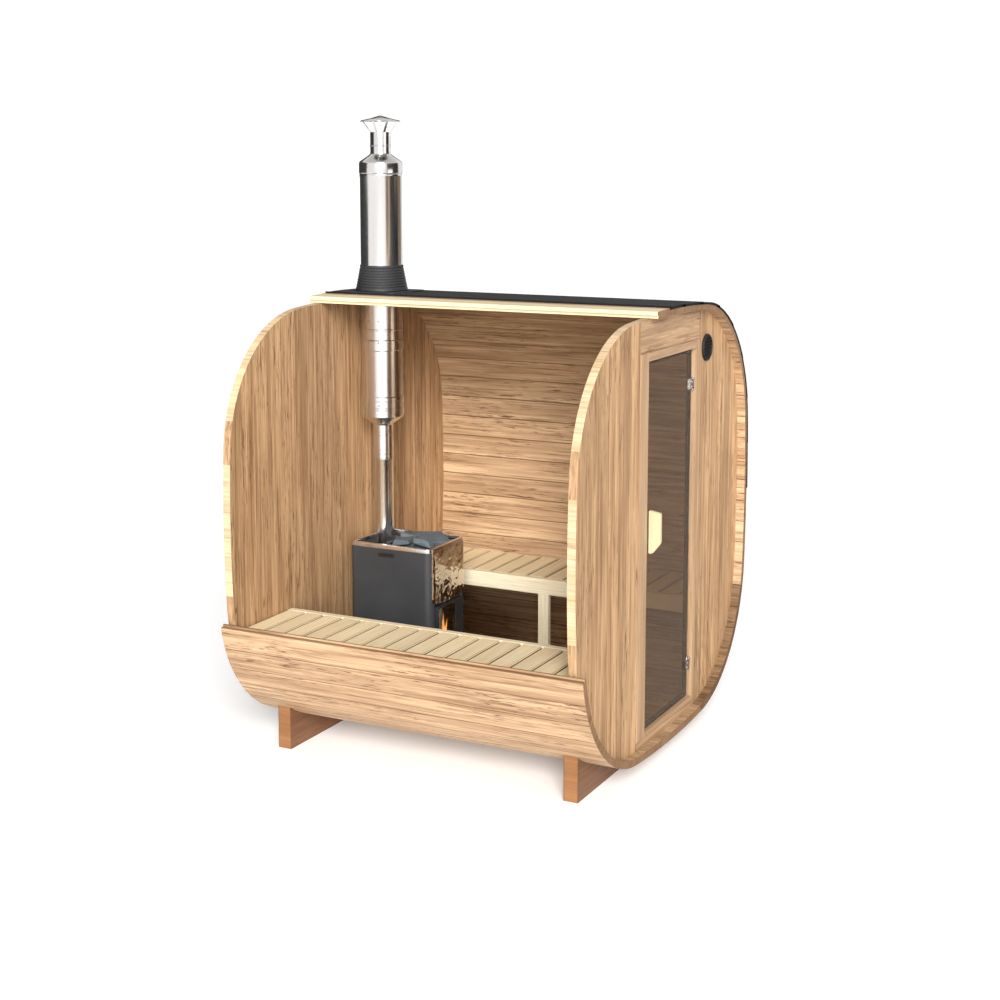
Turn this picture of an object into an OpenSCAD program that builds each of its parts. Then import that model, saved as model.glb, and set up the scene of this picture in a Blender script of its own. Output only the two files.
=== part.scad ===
// Cube sauna: a squircle shell of horizontal staves round two plank end walls,
// shown with the staves of one long side left out above the bench.
// The staves run along Y, the door wall faces -Y and the open side faces -X.
// Z is up from the ground, and X = 0 and Y = 0 are the middle of the shell.

/* [Shell] */
// Inside width of the shell at mid height
inside_w = 2144; // [1800:2:2600]
// Inside height of the shell, floor stave to roof stave
inside_h = 2104; // [1800:2:2600]
// Clear length between the two end walls
inside_len = 1794; // [1500:2:2600]
// Thickness of the staves
stave_t = 36; // [28:1:50]
// Thickness of the end wall planks
wall_t = 41; // [28:1:60]
// How far the staves run past the door wall
front_rim = 45; // [20:1:120]
// How far the staves run past the back wall
back_rim = 22; // [10:1:120]
// Radius of the four slightly bowed flats
flat_r = 5800; // [4500:100:9000]
// Radius of the four corners, measured inside
corner_r = 677; // [500:1:760]
// Angle below level at which the lower staves of the open side stop
open_side_stop = 10; // [0:1:40]
// Distance from the middle to the cut edge of the roof staves
roof_stop = 255; // [100:5:350]

/* [Bearers] */
// Gap between the ground and the lowest stave
ground_gap = 84; // [40:1:160]
// Length of a bearer across the shell
bearer_len = 1560; // [1200:10:1700]
// Thickness of a bearer
bearer_t = 73; // [45:1:120]
// Distance from the shell's front end to the front bearer
bearer_front_inset = 157; // [20:1:300]
// Distance from the shell's back end to the back bearer
bearer_back_inset = 121; // [20:1:300]

/* [Door] */
// Height of the wall boards above the door frame
header_h = 164; // [100:1:300]
// Height of the wall board below the door frame
sill_h = 48; // [30:1:150]
// Width of the door frame over its posts
door_frame_w = 790; // [700:5:900]
// Distance of the frame's middle from the middle of the wall
door_shift = 46; // [0:1:100]
// Width of the frame post on the latch side
latch_post_w = 102; // [45:1:120]
// Width of the frame's other members
frame_w = 45; // [30:1:70]
// How far the frame stands out from the wall
frame_proud = 3; // [0:1:10]
// Depth of the glass behind the face of the frame
glass_recess = 15; // [8:1:20]
// Thickness of the glass
glass_t = 8; // [6:1:10]
// Gap round the glass
glass_gap = 8; // [6:1:12]
// Gap at the hinge edge of the glass
hinge_gap = 26; // [20:1:40]
// Length of a handle
handle_l = 212; // [120:1:300]
// How far a handle stands off the glass
handle_d = 60; // [30:1:80]
// Thickness of a handle
handle_t = 26; // [18:1:40]
// Distance from the free edge of the glass to the handle
handle_inset = 46; // [30:1:80]
// Height of the handle's lower end above the glass's lower edge
handle_up = 876; // [500:1:1100]
// Height of a glass clamp
clamp_h = 52; // [30:1:90]
// Distance from the ends of the glass to the clamps
clamp_inset = 145; // [100:1:300]

/* [Vent] */
// Diameter of the vent disc
vent_d = 146; // [80:1:180]
// Distance of the vent from the door frame
vent_side = 103; // [80:1:200]
// Distance of the vent's middle below the top of the door frame
vent_down = 56; // [0:1:300]
// How far the vent disc stands out from the wall
vent_proud = 12; // [4:1:25]

/* [Benches] */
// Height of the bench tops above the lowest stave
bench_h = 548; // [350:1:700]
// Depth of a bench from the side of the shell
bench_w = 517; // [400:1:560]
// Width of a bench slat
slat_w = 100; // [60:1:140]
// Thickness of a bench slat
slat_t = 27; // [18:1:40]
// Gap between bench slats
slat_gap = 12; // [8:1:20]
// Width of the rail along the front of a bench
rail_w = 43; // [28:1:60]
// Height of the rail along the front of a bench
rail_h = 86; // [60:1:140]
// Width of a bench post along the bench
post_w = 62; // [35:1:80]
// Thickness of a bench post
post_t = 28; // [18:1:60]
// Width of the ledgers under the slats
ledger_w = 30; // [20:1:45]
// Height of the ledgers under the slats
ledger_h = 45; // [30:1:60]

/* [Stove] */
// Width of the stove across the shell
stove_w = 386; // [300:1:450]
// Depth of the stove along the shell
stove_d = 496; // [350:1:550]
// Height of the stove's top above the lowest stave
stove_h = 810; // [650:1:900]
// Distance of the stove's middle from the middle of the shell
stove_shift = 107; // [0:1:200]
// Clear distance from the stove to the back wall
stove_back = 64; // [50:1:300]
// Radius of the stove's front corners
stove_round = 45; // [30:1:60]
// Radius of the stove's back corners
stove_back_round = 26; // [24:1:60]
// Height of the polished rim round the stone basket
stove_rim_h = 22; // [10:1:40]
// Height of the polished front plate
plate_h = 290; // [150:1:300]
// How far the plate's lower edge bows down in its middle
plate_bow = 26; // [5:1:40]
// Width of the fire door
fire_door_w = 276; // [200:1:290]
// Height of the fire door
fire_door_h = 380; // [220:1:420]

/* [Flue] */
// Diameter of the bare flue pipe
flue_d = 107; // [90:1:150]
// Diameter of the insulated pipe
insulated_d = 221; // [180:1:260]
// Distance from the stove's back face to the flue's middle
flue_back = 98; // [60:1:150]
// Length of insulated pipe below the roof
insulated_below = 668; // [300:1:760]
// Length of insulated pipe above the roof
insulated_above = 683; // [300:1:900]
// Length of the cone at each end of the insulated pipe
cone_h = 47; // [30:1:80]
// Length of bare pipe between the upper cone and the rain cap
outlet_h = 110; // [60:1:200]
// Diameter of the rain cap
rain_cap_d = 212; // [150:1:300]
// Height of the rain cap's cone
rain_cap_h = 30; // [15:1:60]
// Height of the struts that hold the rain cap
strut_h = 57; // [40:1:100]
// Angle by which the struts are turned from the shell's axes
strut_turn = 9; // [0:1:90]
// Height of the rubber boot
boot_h = 131; // [80:1:180]
// Diameter of the boot's foot
boot_d = 276; // [260:1:340]
// Side of the boot's square flange
flange_w = 350; // [300:5:420]

/* [Roofing] */
// Thickness of a course of roofing
felt_t = 6; // [3:1:12]
// Distance from the middle to the near edge of the roofing
felt_stop = 97; // [0:1:200]
// Height of the roofing's lower edge above mid height
felt_low = 0; // [-200:10:300]

/* [Hidden] */

// Round work is drawn fine enough that its mesh is true to a tenth of a millimetre.
fine = 720;
round_fn = 180;
small_fn = 48;
eps = 1;

// Outline of the inside of the shell: four bowed flats joined by tangent corners.
half_w = inside_w / 2;
half_h = inside_h / 2;
side_axis = half_w - flat_r;
flat_axis = half_h - flat_r;
slope = side_axis / flat_axis;
corner_line = (flat_axis * flat_axis - side_axis * side_axis) / (2 * flat_axis);
quad_a = 1 + slope * slope;
quad_b = 2 * slope * (corner_line - flat_axis);
quad_c = pow(corner_line - flat_axis, 2) - pow(flat_r - corner_r, 2);
corner_x = (sqrt(quad_b * quad_b - 4 * quad_a * quad_c) - quad_b) / (2 * quad_a);
corner_z = slope * corner_x + corner_line;
side_angle = atan2(corner_z, corner_x - side_axis);
top_angle = atan2(corner_z - flat_axis, corner_x);
outer_r = flat_r + stave_t;

mid_z = ground_gap + stave_t + half_h;
floor_z = mid_z - half_h;
roof_z = mid_z + half_h + stave_t;
above_all = 2 * mid_z;
shell_len = front_rim + 2 * wall_t + inside_len + back_rim;
front_end = -shell_len / 2;
back_end = shell_len / 2;
front_face = front_end + front_rim;
front_inside = front_face + wall_t;
back_inside = front_inside + inside_len;
back_face = back_inside + wall_t;
roof_stop_angle = acos(-roof_stop / outer_r);

// Height of the shell's inner face under the floor side, at a distance x from the middle.
function floor_at(x) = abs(x) < (flat_r * cos(top_angle))
    ? -flat_axis - sqrt(flat_r * flat_r - x * x) + mid_z
    : mid_z - corner_z - sqrt(pow(corner_r, 2) - pow(abs(x) - corner_x, 2));
// Half width of the shell's inner face at a height z.
function side_at(z) = abs(z - mid_z) < flat_r * sin(side_angle)
    ? side_axis + sqrt(flat_r * flat_r - pow(z - mid_z, 2))
    : corner_x + sqrt(pow(corner_r, 2) - pow(abs(z - mid_z) - corner_z, 2));

// Bearers: the seat is cut with this much play round the staves.
bearer_play = 0.2;

// Door: the frame fills the gap between the near, far, header and sill boards.
frame_x0 = door_shift - door_frame_w / 2;
frame_x1 = door_shift + door_frame_w / 2;
frame_z0 = floor_z + sill_h;
frame_z1 = mid_z + half_h - header_h;
frame_y0 = front_face - frame_proud;
opening_x0 = frame_x0 + latch_post_w;
opening_x1 = frame_x1 - frame_w;
opening_z0 = frame_z0 + frame_w / 2;
opening_z1 = frame_z1 - frame_w;
glass_x0 = opening_x0 + glass_gap;
glass_x1 = opening_x1 - hinge_gap;
glass_z0 = opening_z0 + glass_gap;
glass_z1 = opening_z1 - glass_gap;
glass_y0 = frame_y0 + glass_recess;
glass_y1 = glass_y0 + glass_t;
seal_clear = 6;
seal_y0 = glass_y1 + seal_clear;
seal_lap = 12;

// Door hinges: each pin stands just in front of the glass, in the middle of the hinge gap.
pin_r = 3;
pin_clear = 0.3;
pin_front = 2;
pin_x = opening_x1 - hinge_gap / 2;
pin_y = glass_y0 - pin_front;
knuckle_r = 7;
lug_h = 6;
lug_r = 6;
lug_gap = 1;
clamp_w = 34;
clamp_t = 6;
clamp_z = [glass_z0 + clamp_inset, glass_z1 - clamp_inset - clamp_h];

// Handles: the side view has a short foot, a slanted lower corner and a top that falls away.
handle_x = glass_x0 + handle_inset;
handle_z = glass_z0 + handle_up;
handle_foot = 18;
handle_cut = 53;
handle_fall = 11;

// Benches
bench_z = floor_z + bench_h;
bench_front = half_w - bench_w;
slat_end_gap = 6;
slat_x0 = bench_front + rail_w;
slat_x1 = side_at(bench_z - slat_t) - slat_end_gap;
slat_pitch = slat_w + slat_gap;
slat_count = floor((inside_len + slat_gap) / slat_pitch);
slat_y0 = front_inside + (inside_len - slat_count * slat_pitch + slat_gap) / 2;
ledger_end_gap = 4;
ledger_z = bench_z - slat_t - ledger_h;
ledger_x1 = side_at(ledger_z) - ledger_end_gap;

// Stove
foot_h = 50;
foot_r = 18;
foot_inset = 60;
stove_x0 = stove_shift - stove_w / 2;
stove_x1 = stove_shift + stove_w / 2;
stove_y1 = back_inside - stove_back;
stove_y0 = stove_y1 - stove_d;
stove_z0 = floor_z + foot_h;
stove_z1 = floor_z + stove_h;
rim_z = stove_z1 - stove_rim_h;
basket_margin = 20;
basket_depth = 120;
stone_heap = 28;
stone_clear = 2;
plate_t = 4;
plate_wrap = 5;
plate_z = rim_z - plate_h;
bow_r = (stove_w * stove_w / 4 + plate_bow * plate_bow) / (2 * plate_bow);

// Fire door: it sits in a shallow recess and turns on a barrel at its edge.
fire_gap = 6;
fire_proud = 12;
fire_door_t = 20;
fire_x0 = stove_x0 + stove_round;
fire_x1 = fire_x0 + fire_door_w;
fire_z1 = plate_z - fire_gap;
fire_z0 = fire_z1 - fire_door_h;
fire_y0 = stove_y0 - fire_proud;
fire_y1 = fire_y0 + fire_door_t;
barrel_r = 6;
barrel_out = 5;
firebox_margin = 40;
firebox_depth = 300;

// Flue, chimney and their roof flashing
flue_x = stove_shift;
flue_y = stove_y1 - flue_back;
pipe_t = 3;
pipe_clear = 3;
lower_cone_z = roof_z - insulated_below;
upper_cone_z = roof_z + insulated_above;
outlet_z = upper_cone_z + cone_h;
outlet_z1 = outlet_z + outlet_h;
cap_z = outlet_z1 + strut_h;
cap_t = 2;
strut_w = 12;
strut_t = 2;
strut_lap = 20;
strut_reach = rain_cap_d / 2 - 3 * strut_t;
boot_foot_t = 6;
boot_z = roof_z + felt_t + boot_foot_t;
boot_lip = 2;

// Roofing
felt_stop_angle = acos(-felt_stop / outer_r);
felt_low_angle = asin(felt_low / outer_r);

// Height of the underside of the rain cap at a radius r.
function cap_under(r) = cap_z - cap_t + rain_cap_h * (1 - 2 * r / rain_cap_d);

// A length of curved shell: axis at (x, z), inner radius r, thickness t, from
// angle a0 to a1 in the XZ plane, between two stations along Y.
module sector(x, z, r, t, a0, a1, y0, y1)
    translate([x, y1, z]) rotate([90, 0, 0]) rotate([0, 0, a0])
        rotate_extrude(angle = a1 - a0, $fn = fine) translate([r, 0]) square([t, y1 - y0]);

// The filled outline of the shell, grown by a distance, in the XZ plane about mid height.
module outline(grow) {
    flat_x = (flat_r + grow) * cos(top_angle);
    flat_z = (flat_r + grow) * sin(side_angle);
    for (sx = [-1, 1], sz = [-1, 1])
        translate([sx * corner_x, sz * corner_z]) circle(r = corner_r + grow, $fn = fine);
    for (s = [-1, 1]) {
        intersection() {
            translate([s * side_axis, 0]) circle(r = flat_r + grow, $fn = fine);
            translate([min(0, 2 * s * half_w), -flat_z]) square([2 * half_w, 2 * flat_z]);
        }
        intersection() {
            translate([0, s * flat_axis]) circle(r = flat_r + grow, $fn = fine);
            translate([-flat_x, min(0, 2 * s * half_h)]) square([2 * flat_x, 2 * half_h]);
        }
    }
}

// A slab of the outline between two stations along Y.
module outline_slab(grow, y0, y1)
    translate([0, y1, mid_z]) rotate([90, 0, 0]) linear_extrude(height = y1 - y0) outline(grow);

module block(x0, x1, y0, y1, z0, z1)
    translate([x0, y0, z0]) cube([x1 - x0, y1 - y0, z1 - z0]);

module tube(d, t, z0, z1)
    translate([flue_x, flue_y, z0]) difference() {
        cylinder(d = d, h = z1 - z0, $fn = round_fn);
        translate([0, 0, -eps]) cylinder(d = d - 2 * t, h = z1 - z0 + 2 * eps, $fn = round_fn);
    }

// Pipe turned from its own wall section, a list of [radius, height] points.
module turned(section)
    translate([flue_x, flue_y, 0]) rotate_extrude($fn = round_fn) polygon(section);

/* Shell */
module floor_staves()
    color("burlywood")
        sector(0, mid_z - flat_axis, flat_r, stave_t, 180 + top_angle, 360 - top_angle, front_end, back_end);

module near_lower_staves()
    color("burlywood")
        sector(-corner_x, mid_z - corner_z, corner_r, stave_t, 180 + open_side_stop, 180 + top_angle,
            front_end, back_end);

module far_lower_staves()
    color("burlywood")
        sector(corner_x, mid_z - corner_z, corner_r, stave_t, -top_angle, -side_angle, front_end, back_end);

module far_side_staves()
    color("burlywood")
        sector(side_axis, mid_z, flat_r, stave_t, -side_angle, side_angle, front_end, back_end);

module far_upper_staves()
    color("burlywood")
        sector(corner_x, mid_z + corner_z, corner_r, stave_t, side_angle, top_angle, front_end, back_end);

// The hole that the chimney passes through.
module pipe_hole()
    translate([flue_x, flue_y, roof_z - 3 * stave_t])
        cylinder(d = insulated_d + 2 * pipe_clear, h = 5 * stave_t, $fn = round_fn);

module roof_staves()
    color("burlywood") difference() {
        sector(0, mid_z + flat_axis, flat_r, stave_t, top_angle, roof_stop_angle, front_end, back_end);
        pipe_hole();
    }

/* End walls */
module front_wall_part(x0, x1, z0, z1)
    color("tan") intersection() {
        outline_slab(0, front_face, front_inside);
        block(x0, x1, front_face - eps, front_inside + eps, z0, z1);
    }

module front_wall_near()
    front_wall_part(-inside_w, frame_x0, 0, above_all);

module front_wall_far()
    front_wall_part(frame_x1, inside_w, 0, above_all);

module front_wall_header()
    front_wall_part(frame_x0, frame_x1, frame_z1, above_all);

module front_wall_sill()
    front_wall_part(frame_x0, frame_x1, 0, frame_z0);

module back_wall()
    color("tan") outline_slab(0, back_inside, back_face);

/* Door */
module door_frame()
    color("wheat") difference() {
        block(frame_x0, frame_x1, frame_y0, front_inside, frame_z0, frame_z1);
        block(opening_x0, opening_x1, frame_y0 - eps, front_inside + eps, opening_z0, opening_z1);
    }

module door_seal()
    color("black") difference() {
        block(opening_x0, opening_x1, seal_y0, front_inside, opening_z0, opening_z1);
        block(glass_x0 + seal_lap, glass_x1 - seal_lap, seal_y0 - eps, front_inside + eps,
            glass_z0 + seal_lap, glass_z1 - seal_lap);
    }

module door_glass()
    color([0.45, 0.4, 0.36, 0.6]) block(glass_x0, glass_x1, glass_y0, glass_y1, glass_z0, glass_z1);

// Each clamp grips the edge of the glass and turns on its pin by a knuckle.
module door_clamps()
    color("silver") for (z = clamp_z) difference() {
        union() {
            block(glass_x1 - clamp_w, glass_x1 + clamp_t - lug_gap, glass_y0 - clamp_t, glass_y1 + clamp_t,
                z, z + clamp_h);
            block(glass_x1, pin_x, glass_y0 - clamp_t, glass_y0, z, z + clamp_h);
            translate([pin_x, pin_y, z]) cylinder(r = knuckle_r, h = clamp_h, $fn = small_fn);
        }
        block(glass_x1 - clamp_w - eps, glass_x1, glass_y0, glass_y1, z - eps, z + clamp_h + eps);
        translate([pin_x, pin_y, z - eps])
            cylinder(r = pin_r + pin_clear, h = clamp_h + 2 * eps, $fn = small_fn);
    }

// A pin between two lugs that are screwed to the frame above and below the clamp.
module door_hinges()
    color("silver") for (z = clamp_z) {
        translate([pin_x, pin_y, z - lug_gap - lug_h / 2])
            cylinder(r = pin_r, h = clamp_h + 2 * lug_gap + lug_h, $fn = small_fn);
        for (lug_z = [z - lug_gap - lug_h, z + clamp_h + lug_gap]) {
            translate([pin_x, pin_y, lug_z]) cylinder(r = knuckle_r, h = lug_h, $fn = small_fn);
            block(pin_x, opening_x1, pin_y - lug_r, pin_y + lug_r, lug_z, lug_z + lug_h);
        }
    }

// A handle stands on the glass at y0 and reaches out along -Y or +Y, as side says.
module handle(y0, side)
    translate([handle_x, y0, handle_z]) rotate([90, 0, 90]) linear_extrude(height = handle_t)
        polygon([
            [0, 0], [side * handle_foot, 0], [side * handle_d, handle_cut],
            [side * handle_d, handle_l - handle_fall], [0, handle_l]
        ]);

module handle_outside()
    color("wheat") handle(glass_y0, -1);

module handle_inside()
    color("black") handle(glass_y1, 1);

module wall_vent()
    color("black")
        translate([frame_x1 + vent_side, front_face, frame_z1 - vent_down]) rotate([90, 0, 0])
            cylinder(d = vent_d, h = vent_proud, $fn = round_fn);

/* Roofing */
module felt_top()
    color("dimgray") difference() {
        sector(0, mid_z + flat_axis, outer_r, felt_t, top_angle, felt_stop_angle, front_end, back_end);
        pipe_hole();
    }

module felt_corner()
    color("dimgray")
        sector(corner_x, mid_z + corner_z, corner_r + stave_t, felt_t, side_angle, top_angle,
            front_end, back_end);

module felt_side()
    color("dimgray")
        sector(side_axis, mid_z, outer_r, felt_t, felt_low_angle, side_angle, front_end, back_end);

/* Bearers */
module bearer(y0)
    color("sienna") difference() {
        block(-bearer_len / 2, bearer_len / 2, y0, y0 + bearer_t, 0, mid_z / 2);
        outline_slab(stave_t + bearer_play, y0 - eps, y0 + bearer_t + eps);
    }

module bearer_front()
    bearer(front_end + bearer_front_inset);

module bearer_back()
    bearer(back_end - bearer_back_inset - bearer_t);

/* Benches */
module bench_slats()
    color("moccasin") for (i = [0:slat_count - 1])
        block(slat_x0, slat_x1, slat_y0 + i * slat_pitch, slat_y0 + i * slat_pitch + slat_w,
            bench_z - slat_t, bench_z);

module bench_rail()
    color("moccasin") block(bench_front, slat_x0, front_inside, back_inside, bench_z - rail_h, bench_z);

module far_bench_slats()
    bench_slats();

module near_bench_slats()
    mirror([1, 0, 0]) bench_slats();

module far_bench_rail()
    bench_rail();

module near_bench_rail()
    mirror([1, 0, 0]) bench_rail();

module bench_ledgers()
    color("moccasin") for (m = [0, 1]) mirror([m, 0, 0]) {
        block(slat_x0, slat_x0 + ledger_w, front_inside, back_inside, ledger_z, bench_z - slat_t);
        block(ledger_x1 - ledger_w, ledger_x1, front_inside, back_inside, ledger_z, bench_z - slat_t);
    }

// The posts stand on the staves under the middle of each rail, flush with its face.
module bench_posts()
    color("moccasin") for (m = [0, 1]) mirror([m, 0, 0]) difference() {
        block(bench_front, bench_front + post_t, -post_w / 2, post_w / 2, 0, bench_z - rail_h);
        difference() {
            block(0, inside_w, -post_w, post_w, -eps, mid_z);
            outline_slab(0, -post_w - eps, post_w + eps);
        }
    }

/* Stove */
module rounded(w, d, r) {
    translate([r, 0]) square([w - 2 * r, d]);
    translate([0, r]) square([w, d - 2 * r]);
    for (x = [r, w - r], y = [r, d - r])
        translate([x, y]) circle(r = r, $fn = round_fn);
}

// The stove seen from above, drawn in by a distance, or grown by a negative one.
module stove_outline(inset)
    translate([stove_x0 + inset, stove_y0 + inset]) {
        rounded(stove_w - 2 * inset, stove_d / 2, stove_round - inset);
        translate([0, stove_round - inset])
            square([stove_w - 2 * inset, stove_d - stove_round - stove_back_round]);
        translate([0, stove_d / 2 - 2 * inset])
            rounded(stove_w - 2 * inset, stove_d / 2, stove_back_round - inset);
    }

module stove_body()
    color("dimgray") difference() {
        translate([0, 0, stove_z0]) linear_extrude(height = rim_z - stove_z0) stove_outline(0);
        translate([0, 0, stove_z1 - basket_depth])
            linear_extrude(height = basket_depth) stove_outline(basket_margin);
        block(fire_x0 - fire_gap, fire_x1 + fire_gap, stove_y0 - eps, fire_y1 + fire_gap,
            fire_z0 - fire_gap, fire_z1 + fire_gap);
        block(fire_x0 + firebox_margin, fire_x1 - firebox_margin, stove_y0, stove_y0 + firebox_depth,
            fire_z0 + firebox_margin, fire_z1 - firebox_margin);
    }

module stove_rim()
    color("silver") translate([0, 0, rim_z]) linear_extrude(height = stove_rim_h) difference() {
        stove_outline(0);
        stove_outline(basket_margin);
    }

// The front plate turns a little way round both corners, and its lower edge is bowed.
module stove_plate()
    color("silver") intersection() {
        translate([0, 0, stove_z0]) linear_extrude(height = rim_z - stove_z0) difference() {
            stove_outline(-plate_t);
            stove_outline(0);
        }
        block(stove_x0 - plate_t, stove_x1 + plate_t, stove_y0 - 2 * plate_t, stove_y0 + plate_wrap,
            stove_z0, stove_z1);
        translate([stove_shift, stove_y1, plate_z + bow_r]) rotate([90, 0, 0])
            cylinder(r = bow_r, h = 2 * stove_d, $fn = fine);
    }

module fire_door()
    color("black") {
        block(fire_x0, fire_x1, fire_y0, fire_y1, fire_z0, fire_z1);
        translate([fire_x1 + barrel_out, fire_y0 + eps, fire_z0 + fire_gap])
            cylinder(r = barrel_r, h = fire_door_h - 2 * fire_gap, $fn = small_fn);
    }

module stove_stones()
    color("slategray") difference() {
        translate([0, 0, stove_z1 - basket_depth]) linear_extrude(height = basket_depth + stone_heap)
            stove_outline(basket_margin + stone_clear);
        translate([flue_x, flue_y, stove_z1 - basket_depth - eps])
            cylinder(d = flue_d + 2 * stone_clear, h = 2 * basket_depth, $fn = round_fn);
    }

// Each foot ends on the highest point of the floor under it.
module stove_foot(x, y)
    translate([x, y, max(floor_at(x - foot_r), floor_at(x + foot_r))])
        cylinder(r = foot_r, h = stove_z0 - max(floor_at(x - foot_r), floor_at(x + foot_r)), $fn = small_fn);

module stove_feet()
    color("black") for (x = [stove_x0 + foot_inset, stove_x1 - foot_inset],
            y = [stove_y0 + foot_inset, stove_y1 - foot_inset])
        stove_foot(x, y);

/* Flue */
module flue_pipe()
    color("silver") tube(flue_d, pipe_t, stove_z1 - basket_depth, lower_cone_z - cone_h);

module flue_cone()
    color("silver") turned([
        [flue_d / 2 - pipe_t, lower_cone_z - cone_h], [flue_d / 2, lower_cone_z - cone_h],
        [insulated_d / 2, lower_cone_z], [insulated_d / 2 - pipe_t, lower_cone_z]
    ]);

module insulated_pipe()
    color("silver") tube(insulated_d, (insulated_d - flue_d) / 2, lower_cone_z, upper_cone_z);

module chimney_boot()
    color("black") turned([
        [insulated_d / 2, boot_z], [boot_d / 2, boot_z],
        [insulated_d / 2 + boot_lip, boot_z + boot_h], [insulated_d / 2, boot_z + boot_h]
    ]);

// The flange is bent to the roof's curve and lies on the roofing.
module boot_flange()
    color("black") difference() {
        sector(0, mid_z + flat_axis, outer_r + felt_t, boot_foot_t,
            acos((flue_x + flange_w / 2) / outer_r), acos((flue_x - flange_w / 2) / outer_r),
            flue_y - flange_w / 2, flue_y + flange_w / 2);
        translate([flue_x, flue_y, roof_z - stave_t]) cylinder(d = boot_d, h = 3 * stave_t, $fn = round_fn);
    }

module outlet_cone()
    color("silver") turned([
        [flue_d / 2 - pipe_t, outlet_z], [flue_d / 2, outlet_z],
        [insulated_d / 2, upper_cone_z], [insulated_d / 2 - pipe_t, upper_cone_z]
    ]);

module outlet_pipe()
    color("silver") tube(flue_d, pipe_t, outlet_z, outlet_z1);

module rain_cap()
    color("silver") turned([
        [0, cap_under(0)], [rain_cap_d / 2, cap_z - cap_t], [rain_cap_d / 2, cap_z], [0, cap_z + rain_cap_h]
    ]);

// Flat strips that lap the outlet pipe and lean out to the edge of the cap.
module rain_cap_struts()
    color("silver") for (a = [strut_turn:90:strut_turn + 270])
        translate([flue_x, flue_y, 0]) rotate([90, 0, a])
            translate([0, 0, -strut_w / 2]) linear_extrude(height = strut_w) polygon([
                [flue_d / 2, outlet_z1 - strut_lap], [flue_d / 2 + strut_t, outlet_z1 - strut_lap],
                [flue_d / 2 + strut_t, outlet_z1], [strut_reach, cap_under(strut_reach)],
                [strut_reach - strut_t, cap_under(strut_reach - strut_t)], [flue_d / 2, outlet_z1]
            ]);

floor_staves();
near_lower_staves();
far_lower_staves();
far_side_staves();
far_upper_staves();
roof_staves();
front_wall_near();
front_wall_far();
front_wall_header();
front_wall_sill();
back_wall();
door_frame();
door_seal();
door_glass();
door_clamps();
door_hinges();
handle_outside();
handle_inside();
wall_vent();
felt_top();
felt_corner();
felt_side();
bearer_front();
bearer_back();
near_bench_slats();
far_bench_slats();
near_bench_rail();
far_bench_rail();
bench_ledgers();
bench_posts();
stove_body();
stove_rim();
stove_plate();
fire_door();
stove_stones();
stove_feet();
flue_pipe();
flue_cone();
insulated_pipe();
chimney_boot();
boot_flange();
outlet_cone();
outlet_pipe();
rain_cap();
rain_cap_struts();
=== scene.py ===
"""A cube sauna, cut open on one long side: its finishes, boards and fittings in Blender."""
import math
import random

import bmesh
import bpy
from mathutils import Matrix, Vector, noise


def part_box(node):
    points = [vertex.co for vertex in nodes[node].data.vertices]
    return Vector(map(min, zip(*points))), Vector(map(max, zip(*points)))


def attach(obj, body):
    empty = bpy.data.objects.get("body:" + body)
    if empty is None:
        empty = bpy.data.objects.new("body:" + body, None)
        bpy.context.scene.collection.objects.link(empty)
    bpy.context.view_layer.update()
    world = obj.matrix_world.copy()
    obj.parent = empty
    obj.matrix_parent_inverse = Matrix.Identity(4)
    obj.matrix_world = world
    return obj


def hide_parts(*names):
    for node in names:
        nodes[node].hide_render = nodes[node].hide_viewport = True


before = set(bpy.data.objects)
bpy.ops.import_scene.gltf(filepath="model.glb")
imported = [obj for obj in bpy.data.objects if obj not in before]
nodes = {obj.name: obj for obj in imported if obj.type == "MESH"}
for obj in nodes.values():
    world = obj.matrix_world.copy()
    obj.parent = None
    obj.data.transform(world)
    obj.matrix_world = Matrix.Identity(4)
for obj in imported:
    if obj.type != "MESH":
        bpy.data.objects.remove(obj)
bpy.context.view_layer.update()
scene = bpy.context.scene

# ---------------------------------------------------------------- camera, light and floor
# A long lens on a tall tripod off the near front corner of the sauna, tipped a little down. Two
# big low windows light the open side and a soft box the front; dark screens and a cloth on the
# white floor are seen only in reflections, and give the pipes and the glass their dark bands.
camera_place = Vector((-7.592, -3.862, 2.990))
camera_turn = math.radians(63.12)
camera_tip = math.radians(8.353)
camera_data = bpy.data.cameras.new("camera")
camera_data.lens = 60.49
camera_data.shift_y = -0.10
camera_data.clip_end = 1500
camera = bpy.data.objects.new("camera", camera_data)
camera.location = camera_place
camera.rotation_euler = (math.pi / 2 - camera_tip, 0, -camera_turn)
scene.collection.objects.link(camera)
scene.camera = camera


def studio_light():
    """An even white room, dimmer overhead where metal is seen to reflect it."""
    world = bpy.data.worlds.new("studio")
    world.use_nodes = True
    tree = world.node_tree
    sky = tree.nodes["Background"]
    way = tree.nodes.new("ShaderNodeSeparateXYZ")
    tree.links.new(tree.nodes.new("ShaderNodeTexCoord").outputs["Generated"], way.inputs[0])
    rays = tree.nodes.new("ShaderNodeLightPath").outputs
    value = None
    for source, spread_from, low, high in ((way.outputs["Z"], (0.45, 0.8), 1.0, ceiling_level),
                                           (rays["Is Glossy Ray"], (0.0, 1.0), room_level, None),
                                           (rays["Is Camera Ray"], (0.0, 1.0), None, backdrop_level)):
        step = tree.nodes.new("ShaderNodeMapRange")
        tree.links.new(source, step.inputs["Value"])
        step.inputs["From Min"].default_value, step.inputs["From Max"].default_value = spread_from
        for label, level in (("To Min", low), ("To Max", high)):
            if level is None:
                tree.links.new(value, step.inputs[label])
            else:
                step.inputs[label].default_value = level
        value = step.outputs[0]
    tree.links.new(value, sky.inputs["Strength"])
    sky.inputs["Color"].default_value = (1, 1, 1, 1)
    return world


room_level = 0.36
backdrop_level = 1.05
ceiling_level = 0.62
scene.world = studio_light()
scene.view_settings.view_transform = "Standard"


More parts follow.
